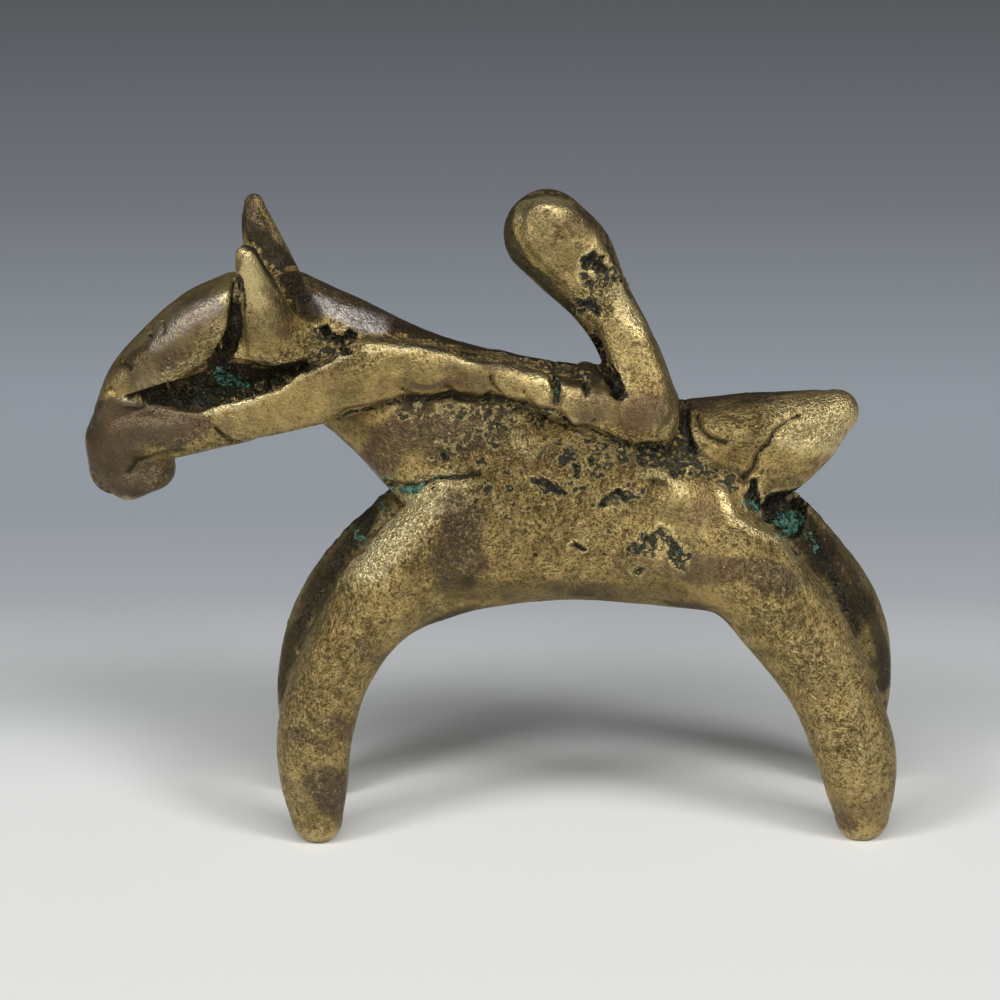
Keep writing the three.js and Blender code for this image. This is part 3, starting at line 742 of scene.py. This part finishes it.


# Where the brass is worn, dirty, brown or green, and where shade, highlights and sheen are painted: half
# width, softness, strength, line
UMBER = [
    (1.4, 1.4, 0.7, -25+45j, -28+42.2j, -30.6+39.6j), (0.6, 1.2, 0.45, 16.4+27.4j, 19.4+27.2j),
    (1.4, 1, 1.15, -33.4+35.6j, -30+35.2j, -26.6+35j), (0.5, 0.8, 0.9, -31+31.8j, -29.4+31.3j),
    (1.4, 1, 1.1, -34.4+34.4j, -33.6+31.8j, -32.6+30j), (0.8, 0.9, 0.9, -31.4+29.4j, -28.8+30.2j),
    (1.2, 1.8, 0.7, 8.4+37j, 11.4+36.4j, 13.8+36.4j), (0.9, 1, 0.95, -33+33.4j, -31.4+32.4j),
    (0.5, 1.8, 0.45, 31.2+0.6j, 33.2-0.4j),
    (1.1, 0.6, 1, -17+48.6j, -14+46.6j, -10+44.6j, -6+43.2j, 0+41.8j, 6+41.2j),
    (0.9, 0.6, 1, 6+40j, 8.8+40.2j), (1, 1.4, 0.9, -3+27.2j, -2.8+25.2j),
    (1.2, 1.4, 0.75, -4.2+23.6j, -2.4+22j), (1.4, 1.4, 0.95, -10+33j, -7.6+35.2j),
    (1.4, 1.6, 0.85, -5+34j, -1+35j), (0.6, 1.2, 0.6, -11.4+15.6j, -9.8+14j),
    (0.5, 0.8, 0.7, -14.2+8.6j, -12.8+7.6j), (0.6, 0.7, 0.8, -17.2+6.8j, -15.4+6.2j),
    (0.8, 1.5, 1, -15.4+2.8j, -14+0.6j), (0.4, 0.7, 0.8, -14.2-0.2j, -13.4-1.6j),
    (1, 1.2, 0.8, 18+22.2j, 21.9+21.8j, 25.4+20.9j), (0.5, 0.8, 0.7, 30.2-0.2j, 31-1.4j),
    (0.5, 1, 0.7, -3.4+39.8j, -0.8+39.2j), (0.25, 0.5, 0.9, -7.6+38.6j, -5.4+38.8j, -3.6+39.3j),
    (0.5, 0.8, 0.8, 17.2+37.5j, 23.6+37.8j), (0.7, 1, 0.9, 28.8+24.4j, 31.6+19j),
    (0.3, 0.8, 0.8, 34+14.6j, 34.2+11.6j), (0.6, 0.9, 0.5, 3.2+54j, 4.6+53.4j),
    (0.6, 0.9, 0.5, 6.6+53.6j, 8+52.8j), (0.3, 0.8, 0.6, -19.6+47.4j, -18.6+45.4j),
    (0.4, 0.9, 0.6, -19.4+44.4j, -18+43.2j), (0.7, 0.9, 0.35, 18.6+36j, 21+35j),
    (0.5, 1, 0.4, 4+33j, 8+32.4j), (0.6, 1, 0.5, 11+22.6j, 16+21.8j),
    (0.8, 0.8, 0.9, -22.6+39.6j, -20.4+39.4j), (0.9, 0.6, 1.1, -21.2+54.4j, -20+51.8j, -18.6+49.6j),
]
GREEN = [
    (0.35, 0.45, 1, -24.2+40.2j, -23.6+39.5j, -22.8+39.3j), (0.25, 0.35, 0.95, -22.3+39.3j, -21.4+38.7j),
    (0.15, 0.3, 0.8, -25+38j, -24.6+37.9j), (0.35, 0.35, 1.1, -9.5+30.1j, -9.1+29.5j),
    (0.3, 0.35, 1.1, -8+29.5j, -6.8+29.5j), (0.25, 0.5, 0.7, 27.2+25.4j, 28+24.2j),
    (0.3, 0.5, 0.72, -12+25.6j, -11.2+24.4j), (0.2, 0.4, 0.8, -10.2+28.6j, -9.6+27.6j),
    (0.15, 0.3, 0.7, -6.4+30j, -5+30.4j), (0.25, 0.35, 0.8, 5.1+39.8j, 5.3+38.4j),
    (0.35, 0.5, 0.9, 22.1+28.3j, 22.6+27.7j), (0.35, 0.5, 1, 23.8+27.2j, 24.6+26.6j),
    (0.5, 0.5, 1, 25+27j, 26.2+26.8j, 25.2+25.4j), (0.2, 0.3, 0.8, 26+28.9j, 25.9+28.5j),
    (0.25, 0.4, 0.55, 15.2+24.4j, 16.2+23.8j), (0.15, 0.3, 0.55, 5.6+29.6j, 6.5+29j),
    (0.2, 0.4, 0.6, -12.8+26.6j, -12.2+25.6j), (0.15, 0.3, 0.6, 6.8+46.6j, 7.4+46.2j),
]
# Dark patches: painted shade on edges turned from the lamps, under the strip and on the far legs, with some
# dirt
SHADE_AND_DIRT = [
    (0.4, 1.3, 1.15, -18.8+49.6j, -17.2+47.4j, -15.8+45.8j), (0.5, 0.8, 0.6, -12.8+36j, -9.4+32.4j),
    (0.5, 1.2, 0.85, -8+37j, -2+36.8j, 3+36.6j), (0.1, 0.6, 0.8, 3+36.6j, 6+36j, 7.4+34.8j),
    (0.4, 0.8, 0.7, 8.6+33.8j, 12.4+32.6j, 16.6+33j),
    (0.6, 0.6, 0.95, -8+43.9j, -2.1+41.9j, 2+41.6j, 6.4+41.2j), (0.6, 1.2, 0.7, -4+20.4j, 9+20.2j, 16+20j),
    (0.3, 0.8, 0.6, 17.6+38.6j, 23+38.8j, 29+38.9j), (0.4, 0.7, 0.8, 17.2+33j, 19+31.6j, 21.4+30.6j),
    (0.9, 0.8, 0.9, -24.4+38.6j, -20+39.6j), (0.7, 0.5, 1, 5.8+40.3j, 8.4+39.6j),
    (0.8, 0.9, 1.2, 26.4+26j, 28.6+23j),
    (0.6, 0.8, 1, -10.6+27j, -13.2+23.4j, -15.6+19.6j, -17.4+16j, -18.6+12j),
    (0.4, 0.7, 1, 32.4+19j, 33.8+15.4j, 34.4+11.8j), (0.8, 0.7, 1.2, -19.9+51.6j, -18+48.6j),
    (0.5, 0.6, 0.8, -21.4+53.6j, -20.4+52.2j), (0.3, 0.9, 0.5, -31+43.6j, -33.8+39.6j, -35+35j),
    (0.3, 0.7, 0.6, -33.4+29.2j, -30.4+28.8j), (0.6, 1.2, 0.6, -34.4+34.6j, -33.2+31.2j),
    (0.4, 0.8, 1, 1.1+54.2j, 1+52j, 2+50.2j, 4.4+48j, 7+44.8j),
    (0.35, 0.5, 0.95, 1.4+55.2j, 3.2+56.2j, 5.4+56.3j, 7.4+55.4j, 8.9+53.4j, 10.6+50.2j, 12.2+47j),
    (0.2, 0.5, 0.9, -19.4+49.8j, -17.9+46.6j),
]
# Black patches: painted shade in the hollow, the slot and the gap under the tail, with black crust
BLACK_SHADE_AND_CRUST = [
    (0.1, 0.25, 0.9, -31.6+37.7j, -29.6+37.8j), (0.35, 0.4, 0.8, -29+37.8j, -26.4+37.8j, -24.6+38.2j),
    (0.25, 0.4, 0.95, -24.4+40.9j, -23.4+42.2j, -22.3+43.8j, -21.8+46j, -22+48.2j),
    (0.3, 0.4, 0.75, -25+37.6j, -21+38j, -18.6+39j, -16.4+40.5j),
    (0.3, 0.9, 0.45, -18.8+49.2j, -17.2+47.6j, -16.4+46.6j),
    (0.4, 0.35, 1, 8.6+42.8j, 9.2+41.2j, 10.4+39.2j, 10.8+38j),
    (0.25, 0.5, 0.7, 16.5+38j, 16.6+34.6j, 17.2+33j),
    (0.5, 0.6, 0.42, -10.6+27j, -13.2+23.4j, -15.6+19.6j, -17.2+16j),
    (0.25, 0.4, 0.6, 27.6+25.4j, 29.2+22.4j, 30.5+19.6j, 31.8+16.4j),
    (0.5, 0.6, 0.9, 24.2+28.4j, 26.6+28.4j),
]
# Light patches: painted highlights along ridges, rims and edges turned to the lamps, with wear
WEAR_AND_HIGHLIGHT = [
    (0.6, 2.6, 1.5, -3.9+29.4j, -6.6+27.8j, -8.8+25.2j, -11+22.6j), (1.6, 1.4, 0.95, 26.2+35.2j, 29+35j),
    (0.4, 0.8, 0.68, -20.9+49.9j, -20.3+46.4j), (0.25, 0.4, 0.7, -31.8+41.6j, -29.6+43.8j, -27+45.9j),
    (1.8, 2, 0.15, 28.5+14.4j, 31.5+5.4j), (0.5, 0.9, 0.8, 2+34j, 3.7+33j),
    (0.3, 0.5, 1, 19.6+29.9j, 20.2+28.9j, 20.6+27.4j, 21.2+26.6j, 23.4+25.8j, 25.3+24.8j, 27+23.2j),
    (0.22, 0.3, 1.3, -12.6+41.9j, -15.6+40.4j, -17.8+38.9j, -20.5+37.7j, -23.7+36.9j, -25.4+36.2j,
     -28.6+36.9j, -32.2+37.4j),
    (0.2, 0.35, 1, -11+42.3j, -5+42j, -2.7+41j, 0.8+40.7j, 2.2+40.4j, 4.4+39.4j),
    (0.35, 0.6, 1, 2.2+53.6j, 2.8+54.6j, 4.2+55.2j, 6.4+54.8j),
    (0.4, 0.8, 1, 10.8+47.2j, 11.4+45.6j, 12.6+44j), (0.7, 1.2, 0.7, 24.2+37j, 28.6+37.2j, 30.4+36j),
    (0.4, 0.6, 0.7, -23.8+46.9j, -22.9+46.2j), (0.4, 0.6, 0.6, -24.7+44.9j, -24.3+43.6j),
    (0.35, 0.5, 0.7, -25.4+41.2j, -27.7+39.9j, -30.4+38.9j),
    (0.3, 0.6, 0.9, -21.3+50.6j, -20.9+49.6j, -20.7+48.4j), (0.8, 1.2, 0.8, 28.6+37j, 30+36.4j, 30.8+35.2j),
    (0.2, 0.4, 0.9, 12.6+31j, 14.2+30.9j, 15.4+30.2j, 16.4+29.4j),
]
SMOOTH = [
    (1.8, 1, 1, -33+36j, -28+36j, -24+46j, -30+42j, -33+31j),
    (1.6, 0.8, 0.8, -22+35.8j, -14+38.2j, -8+39.6j, 0+39j, 8+37j, 13.4+36.4j),
    (1.6, 1, 0.7, 13+38j, 12+42.6j), (1.6, 1.2, 0.9, 12+28j, 19+27.2j), (1, 1.2, 0.8, 17+22.6j, 25+22j),
    (2.2, 1.2, 0.5, 4.6+52.6j, 7.4+50.6j), (1.6, 1.2, 0.5, 25+33j, 28+36j),
    (1.4, 1, 0.8, -20.8+49j, -20+46j, -19.2+42.6j), (1.4, 1, 0.8, 3.4+54j, 5.6+51.6j, 8+51.2j),
]
# Pale patches: a painted whitish sheen on the neck's hump and the brow
PAINTED_SHEEN = [
    (0.45, 0.6, 1, -15+46j, -13.4+45.3j, -11.4+44.6j, -10+44.2j), (0.2, 0.5, 0.5, -25.4+46j, -23.4+46.5j),
    (0.4, 1.1, 0.4, -28.8+42.8j, -26.6+44.6j, -24.2+45.8j),
]

# Each look's patches, and how far their edges wander, in millimetres
PATCHES = {
    "umber": (UMBER, 0.8),
    "green": (GREEN, 0.15),
    "soot": (BLACK_SHADE_AND_CRUST, 0.1),
    "bright": (WEAR_AND_HIGHLIGHT, 0.25),
    "smooth": (SMOOTH, 0.7),
    "pale": (PAINTED_SHEEN, 0.3),
    "dusk": (SHADE_AND_DIRT, 0.5),
    "crumbly": (CRUMBLY, 0.6),
    "crust": (EATEN, 0.2),
}


def found_at(x, z, points):
    """Every patch, the holes' distance, depth and blackness, the hollow's mouth and the cracks' depth."""
    along, up = rugged(points, 2.6, 301, 2), rugged(points, 2.6, 311, 2)
    patches = [spots(group, x + stray * along, z + stray * up) for group, stray in PATCHES.values()]
    return patches + [*torn(x, z, points), in_outline(x, z, HOLLOW), marks(x, z, points)[1]]


def hollow_at(rounds):
    """How far the surface lies below its neighbourhood, in millimetres: positive in a hollow."""
    return ((softened(points, edges, rounds) - points) * normals).sum(1)


def raised(name, values):
    """The look of that name made at least as strong as values."""
    looks[name] = np.maximum(looks[name], values)


face = directions(softened(points, edges, 10), triangles)
found = both_sides(points, face, found_at)
looks = dict(zip(PATCHES, found))
inside, _, black, mouth, cracked = found[len(PATCHES):]
inside = np.where(black > 0, inside, OUTSIDE)
mouth = np.where(mouth == 0, OUTSIDE, mouth)
x, y, z = points.T
looks["crust"] = np.clip(eaten(points, looks["crust"]), -1, 1)
raised("crust", 2 * smoothstep(inside, -0.15, 0.1) - 1)
# Hole bottoms painted black as their shade, with crust
raised("soot", black * smoothstep(inside, -0.2, 0.15))
# The hollow's mouth painted dark as its shade
mouth_shade = 0.3 + 0.55 * smoothstep(rugged(points, 1.3, 251, 2), -0.3, 0.5)
raised("soot", mouth_shade * smoothstep(mouth, -0.1, 0.3))
filled = 0.45 + 0.5 * smoothstep(rugged(points, 1.4, 261, 2), -0.5, 0.4)
raised("soot", filled * smoothstep(cracked, 0.26, 0.46))
# A painted highlight along each hole's rim
raised("bright", 0.8 * bell(inside, -0.2, 0.11))
# The gap under the tail is painted black all through, as its shade
gap = area(x, z, (22.6, 23.6, 27, 28.4), (25.5, 27, 29.8, 30.8))
raised("soot", 0.9 * gap * (1 - smoothstep(np.abs(y), 3.2, 4.6)))
# How hollow and how proud each point is: the material paints shade into hollows, and wear with highlight onto
# proud places
fine, middle, broad = hollow_at(3), hollow_at(14), hollow_at(90)
looks["hollow"] = np.clip(0.45 * fine / 0.05 + 0.7 * middle / 0.16 + 0.7 * broad / 0.6, 0, 2.5) / 2.5
looks["proud"] = np.clip(-0.6 * middle / 0.10 - 0.8 * broad / 0.6, 0, 2.5) / 2.5
# Painted shade, with some dirt, on the inner sides of the legs and under the belly
inner = smoothstep(-face[:, 1] * np.sign(y), -0.1, 0.6) * smoothstep(np.abs(y), 0.8, 2.0)
inner = inner * (1 - smoothstep(z, 24, 28))
under = between(z, 16, 19, 26, 30, smoothstep(-face[:, 2], 0.25, 0.8))
patchy = 0.6 + 0.4 * smoothstep(rugged(points, 2.4, 401), -0.4, 0.5)
raised("dusk", patchy * np.maximum(inner, under))
raised("umber", 0.6 * smoothstep(rugged(points, 8.0, 91), 0.35, 0.9) * smoothstep(face[:, 1], -0.3, 0.2))
looks["umber"] = np.minimum(looks["umber"], 1.1)

in_metres = np.ascontiguousarray(points * MM)
casting_mesh.vertices.foreach_set("co", in_metres.ravel())
casting_mesh.update()
casting_mesh.shade_smooth()
for name, values in looks.items():
    layer = casting_mesh.attributes.new(name, "FLOAT", "POINT")
    layer.data.foreach_set("value", np.ascontiguousarray(values, dtype=np.float32))

casting = shown("horse_and_rider_casting", casting_mesh)


# Materials
class Finish:
    """A node material with short calls for its nodes."""

    def __init__(self, name):
        self.material = bpy.data.materials.new(name)
        self.material.use_nodes = True
        self.tree = self.material.node_tree
        self.shader = next(n for n in self.tree.nodes if n.type == "BSDF_PRINCIPLED")

    def node(self, kind, sockets=(), **settings):
        """A node of that kind with settings and (socket, value or link) pairs."""
        made = self.tree.nodes.new("ShaderNode" + kind)
        for key, value in settings.items():
            setattr(made, key, value)
        for socket, value in sockets:
            self.put(made.inputs[socket], value)
        return made

    def put(self, socket, value):
        """A link or a fixed value into a socket."""
        if isinstance(value, bpy.types.NodeSocket):
            self.tree.links.new(value, socket)
        else:
            socket.default_value = (*value, 1.0) if socket.type == "RGBA" else value

    def place(self):
        return self.node("TexCoord").outputs["Object"]

    def brushed(self, at):
        """The place drawn out sevenfold, nearly upright, for strokes in the wax."""
        drawn = [("Vector", at), ("Rotation", (0, math.radians(-8), 0)), ("Scale", (1, 1, 7))]
        return self.node("Mapping", drawn, vector_type="TEXTURE").outputs[0]

    def shaken(self, at, size_mm, reach_mm):
        """The place pushed about by noise of that size, as far as reach."""
        noise = self.node("TexNoise", [("Vector", at), ("Scale", 1000 / size_mm), ("Detail", 1.0)])
        terms = [(0, noise.outputs["Color"]), (1, (reach_mm * MM,) * 3), (2, at)]
        return self.node("VectorMath", terms, operation="MULTIPLY_ADD").outputs[0]

    def measure(self, name):
        """One of the casting's own attributes."""
        return self.node("Attribute", attribute_name=name).outputs["Fac"]

    def noise(self, at, size_mm, detail=3.0, roughness=0.55):
        """Cloudy noise, about 0.3 to 0.7, with features of that size."""
        settings = [("Vector", at), ("Scale", 1000 / size_mm), ("Detail", detail), ("Roughness", roughness)]
        return self.node("TexNoise", settings).outputs["Fac"]

    def cells(self, at, size_mm):
        """Distance from the nearest of scattered points, 0 at a point."""
        made = self.node("TexVoronoi", [("Vector", at), ("Scale", 1000 / size_mm)])
        return made.outputs["Distance"]

    def calc(self, operation, *terms):
        return self.node("Math", enumerate(terms), operation=operation).outputs[0]

    def times(self, a, b):
        return self.calc("MULTIPLY", a, b)

    def most(self, a, b):
        return self.calc("MAXIMUM", a, b)

    def plus(self, base, *terms):
        """base plus each (value, weight)."""
        for value, weight in terms:
            base = self.calc("MULTIPLY_ADD", value, weight, base)
        return base

    def step(self, value, low, high, to_low=0.0, to_high=1.0):
        """value smoothly mapped from low..high to to_low..to_high."""
        limits = [("From Min", low), ("From Max", high), ("To Min", to_low), ("To Max", to_high)]
        made = self.node("MapRange", [("Value", value), *limits], interpolation_type="SMOOTHSTEP")
        return made.outputs["Result"]

    def blend(self, share, a, b):
        """Colour a turning into colour b."""
        return self.node("Mix", [(0, share), (6, a), (7, b)], data_type="RGBA").outputs[2]

    def mix(self, share, a, b):
        """Number a turning into number b."""
        return self.node("Mix", [(0, share), (2, a), (3, b)], data_type="FLOAT").outputs[0]

    def surface(self, inputs):
        """The material, with fixed values and links in the shader's own sockets."""
        for name, value in inputs.items():
            self.put(self.shader.inputs[name], value)
        return self.material


# Height in metres of the cast skin's fine grain from 0 to 1
BUMP_HEIGHT = 0.0006
# Red, green and blue of the metal and its coats, and of painted glints, shade and sheen
# Colour of the painted glints
GLINT_BRASS = (0.86, 0.75, 0.44)
WORN_BRASS = (0.66, 0.52, 0.24)
BRASS = (0.46, 0.33, 0.12)
OLIVE = (0.20, 0.145, 0.054)
RUSSET = (0.25, 0.145, 0.062)
PIT_BROWN = (0.085, 0.062, 0.028)
UMBER_BROWN = (0.092, 0.064, 0.043)
RUST_BROWN = (0.112, 0.064, 0.036)
DARK = (0.034, 0.027, 0.016)
# Black of the painted shade in holes and recesses, and of black crust
SHADE_AND_CRUST_BLACK = (0.012, 0.011, 0.008)
CRUST_OLIVE = (0.095, 0.083, 0.046)
CRUST_DARK = (0.044, 0.047, 0.036)
VERDIGRIS = (0.15, 0.35, 0.25)
DEEP_GREEN = (0.015, 0.06, 0.042)
# Whitish tint of the painted sheen
SHEEN_WHITE = (0.64, 0.58, 0.54)


def old_brass():
    """Cast brass, brown in patches, with painted shade brown to dark in hollows, gold where hands wore it and
    in painted highlights, green where it stayed wet.
    """
    f = Finish("old_brass")
    at = f.place()
    clouds, mottle, blots = f.noise(at, 6.0, 2.0), f.noise(at, 1.6), f.noise(at, 3.0)
    crumbs, grain = f.noise(at, 0.5, 2.0, 0.5), f.noise(at, 0.2, 2.0, 0.6)
    umber, green, soot, bright, smooth, pale = map(f.measure, "umber green soot bright smooth pale".split())
    hollow, proud, crust, dusk, crumbly = map(f.measure, "hollow proud crust dusk crumbly".split())
    rough_skin = f.plus(0.8, (smooth, -0.5), (crumbly, 0.25))
    strokes = f.noise(f.brushed(at), 0.3, 2.0)

    # Nuggets, 1 on small lumps of metal and 0 between them
    nugget = f.step(f.plus(0.0, (f.cells(f.shaken(at, 0.5, 0.7), 0.5), 1.0), (grain, -0.4)), 0.30, 0.10)

    # Micro height of the cast skin, about 0.3 in its pits to 0.7 on its crumbs
    skin = f.plus(0.0, (crumbs, 0.45), (grain, 0.55))
    lumps = f.times(crumbly, f.plus(-0.4, (nugget, 1.0)))
    lift = f.plus(f.times(f.plus(-0.5, (skin, 1.0)), rough_skin), (lumps, 0.10))

    # Olive to gold in clouds, with russet between, dark in the skin's pits and worn on its crumbs and proud
    # places, lighter still where highlights and glints are painted on the light patches
    tone = f.plus(-0.55, (clouds, 0.9), (mottle, 1.1), (lift, 1.1))
    colour = f.blend(f.step(tone, 0.2, 0.75), OLIVE, BRASS)
    colour = f.blend(f.times(f.step(blots, 0.5, 0.68), 0.5), colour, RUSSET)
    pricks = f.times(f.step(skin, 0.44, 0.35), f.plus(0.6, (smooth, -0.3)))
    dots = f.step(f.cells(f.shaken(at, 0.4, 0.3), 0.30), 0.36, 0.2)
    pricks = f.most(pricks, f.times(dots, f.step(crumbly, -0.4, 0.7)))
    wear_and_highlight_share = f.step(f.plus(0.0, (bright, 0.42), (proud, 0.42), (lift, 1.3)), 0.02, 0.56)
    colour = f.blend(f.times(wear_and_highlight_share, 0.9), colour, WORN_BRASS)
    # Painted glints of bare brass on the strongest painted highlights
    painted_glint = f.times(f.step(bright, 0.7, 1.5), f.step(lift, -0.1, 0.06))
    colour = f.blend(f.times(painted_glint, 0.85), colour, GLINT_BRASS)
    pits = f.most(pricks, f.step(lift, -0.03, -0.13))
    colour = f.blend(f.times(pits, f.step(bright, 0.2, 1.2, 0.62, 0.4)), colour, PIT_BROWN)
    # Umber patches, thin at their edges, the gold showing on the highest grains
    browned = f.plus(-1.62, (umber, 1.0), (mottle, 0.8), (blots, 1.1), (strokes, 0.6), (skin, 0.5))
    browned = f.step(browned, 0.0, 0.9)
    brown = f.blend(f.step(clouds, 0.48, 0.64), UMBER_BROWN, RUST_BROWN)
    colour = f.blend(f.times(browned, f.step(lift, 0.12, 0.02, 0.45, 0.88)), colour, brown)
    # A painted whitish sheen on the pale patches
    colour = f.blend(f.times(pale, f.step(strokes, 0.35, 0.6, 0.4, 0.85)), colour, SHEEN_WHITE)
    # Painted shade with some dirt: dark on the dark patches, the inner sides of the legs and the belly, and
    # brown to dark in hollows
    shade_and_dirt_share = f.step(f.plus(-1.45, (dusk, 1.1), (mottle, 0.8), (blots, 0.8), (skin, 0.5)), 0.0, 0.75)
    colour = f.blend(f.times(shade_and_dirt_share, 0.85), colour, DARK)
    # Painted shade in hollows, brown deepening to dark
    painted_hollow_shade = f.step(f.plus(-0.5, (hollow, 1.2), (skin, 0.9)), 0.12, 0.75)
    colour = f.blend(f.times(painted_hollow_shade, 0.92), colour, f.blend(f.step(hollow, 0.25, 0.6), PIT_BROWN, DARK))
    # Skin eaten away: a worn rim, then dark green-brown crust with nuggets of gold standing in it
    edge = f.plus(-0.75, (crust, 1.0), (crumbs, 0.8), (grain, 0.5))
    rim = f.times(f.step(edge, -0.3, -0.1), f.step(edge, 0.06, -0.04))
    colour = f.blend(f.times(rim, 0.5), colour, WORN_BRASS)
    crusted = f.step(edge, -0.05, 0.1)
    gold = f.blend(f.step(grain, 0.42, 0.6), BRASS, WORN_BRASS)
    ground = f.blend(f.step(f.plus(0.0, (mottle, 0.5), (grain, 0.5)), 0.44, 0.58), CRUST_DARK, CRUST_OLIVE)
    colour = f.blend(crusted, colour, f.blend(f.times(nugget, 0.85), ground, gold))
    # Holes, slots, the hollow's mouth and the gap under the tail painted black as their shade, with black
    # crust, a little brass and grey showing through
    black = f.step(f.plus(-0.5, (soot, 1.0), (crumbs, 1.0)), 0.25, 0.6)
    black = f.times(black, f.plus(1.0, (f.times(nugget, f.step(crumbly, 0.5, 1.3)), -0.6)))
    grey = f.blend(f.step(mottle, 0.5, 0.62), SHADE_AND_CRUST_BLACK, CRUST_DARK)
    colour = f.blend(black, colour, f.blend(f.times(f.step(grain, 0.56, 0.64), 0.7), grey, OLIVE))
    mossy = f.step(f.plus(-1.0, (green, 0.9), (crumbs, 1.3), (grain, 0.6)), 0.5, 0.85)
    colour = f.blend(mossy, colour, f.blend(f.step(skin, 0.44, 0.6), DEEP_GREEN, VERDIGRIS))

    # Less metal and less gloss, coat by coat
    bare = f.times(crusted, f.plus(1.0, (nugget, -1.0)))
    dull = f.most(f.most(bare, black), mossy)
    shade_and_dirt_cover = f.most(painted_hollow_shade, shade_and_dirt_share)
    metal = f.mix(dull, f.mix(shade_and_dirt_cover, f.mix(browned, 0.88, 0.8), 0.7), 0.4)
    metal = f.mix(mossy, metal, 0.0)
    gloss = f.mix(wear_and_highlight_share, 0.46, f.step(bright, 0.5, 1.4, 0.31, 0.27))
    gloss = f.mix(f.most(pits, shade_and_dirt_cover), f.mix(browned, gloss, 0.40), 0.55)
    gloss = f.mix(dull, gloss, 0.5)

    # Height of the fine relief: grain, lumps, eaten ground, pricks and brush strokes
    waves = f.times(f.plus(-0.3, (crumbs, 0.28), (grain, 0.4)), rough_skin)
    waves = f.times(waves, f.plus(1.0, (crumbly, 0.35), (bright, -0.2)))
    sunken = f.times(crusted, f.plus(-1.0, (nugget, 1.0)))
    relief = f.plus(waves, (lumps, 0.16), (sunken, 0.3), (pricks, -0.16), (f.times(browned, strokes), 0.05))
    relief = f.plus(relief, (f.times(crusted, grain), 0.25))
    bump = f.node("Bump", [("Height", relief), ("Strength", 1.0), ("Distance", BUMP_HEIGHT)])
    inputs = {"Base Color": colour, "Metallic": metal, "Roughness": gloss, "Normal": bump.outputs["Normal"]}
    return f.surface(inputs | {"Specular IOR Level": 0.3})


casting_mesh.materials.append(old_brass())
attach(casting, "root")
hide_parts("horse_and_rider")


# Studio
# The paper's shades, a painted fall-off of the light, go by the distance, in metres, from a middle near the
# figure, shrunk along the paper's width. Each has its share of the reach and its red, green and blue.
PAPER_SHIFT = (0.0, 0.06, 0.0)
PAPER_SCALE = (0.45, 1.0, 1.0)
PAPER_REACH = 0.45
PAPER_FALLOFF = [
    (0.04, 0.97, 0.98, 0.96), (0.155, 0.99, 1.0, 0.985), (0.20, 0.87, 0.89, 0.89),
    (0.24, 0.745, 0.765, 0.775), (0.28, 0.55, 0.57, 0.605), (0.35, 0.45, 0.49, 0.54),
    (0.45, 0.46, 0.51, 0.565), (0.68, 0.312, 0.328, 0.37), (1.0, 0.225, 0.236, 0.26),
]


def studio_paper():
    """Pale paper with the light's fall-off painted in: greyer with the distance from a middle near the
    figure.
    """
    f = Finish("studio_paper")
    moved = [("Vector", f.place()), ("Location", PAPER_SHIFT), ("Scale", PAPER_SCALE)]
    centre = f.node("Mapping", moved)
    away = f.node("VectorMath", [(0, centre.outputs[0])], operation="LENGTH").outputs["Value"]
    ramp = f.node("ValToRGB", [("Fac", f.calc("DIVIDE", away, PAPER_REACH))])
    elements = ramp.color_ramp.elements
    while len(elements) < len(PAPER_FALLOFF):
        elements.new(0.5)
    for element, (place, *shade) in zip(elements, PAPER_FALLOFF):
        element.position = place
        element.color = (*shade, 1.0)
    return f.surface({"Base Color": ramp.outputs["Color"], "Roughness": 0.9, "Specular IOR Level": 0.0})


HALF_FLOOR = 3.0
corners = np.array([(-1, -1, 0), (1, -1, 0), (1, 1, 0), (-1, 1, 0)]) * HALF_FLOOR
floor = new_object("studio_floor", corners, np.array([(0, 1, 2, 3)]))
floor.data.materials.append(studio_paper())

# All softboxes face a point in the middle of the figure, in metres
MIDDLE = np.array([0.0, 0.0, 0.03])


def softbox(name, place, width, height, power):
    """A rectangular area light at place that faces the figure's middle."""
    light = bpy.data.lights.new(name, "AREA")
    light.shape = "RECTANGLE"
    light.size, light.size_y, light.energy = width, height, power
    lamp = shown(name, light)
    ahead = (MIDDLE - place) / np.linalg.norm(MIDDLE - place)
    lamp.location = place
    lamp.rotation_euler = (math.acos(-ahead[2]), 0, math.atan2(ahead[0], -ahead[1]) + math.pi)


softbox("softbox_left", (-0.60, -0.62, 0.74), 0.30, 0.30, 3.9)
softbox("softbox_right", (0.60, -0.62, 0.74), 0.30, 0.30, 3.6)
softbox("softbox_front", (0.10, -0.86, 0.52), 1.2, 0.8, 3.8)
softbox("softbox_top", (0.0, -0.60, 0.95), 0.8, 0.5, 2.5)

world = bpy.data.worlds.new("studio_air")
scene.world = world
world.use_nodes = True
air = next(n for n in world.node_tree.nodes if n.type == "BACKGROUND")
air.inputs["Color"].default_value = (0.97, 0.99, 1.0, 1.0)
air.inputs["Strength"].default_value = 0.07
scene.view_settings.view_transform = "Standard"

camera = bpy.data.cameras.new("camera")
camera.lens = LENS
camera.sensor_width = 36.0
camera.clip_start = 0.01
eye = shown("camera", camera)
eye.location = EYE * MM
eye.rotation_euler = (math.radians(90 - LOOK_DOWN), 0, 0)
scene.camera = eye
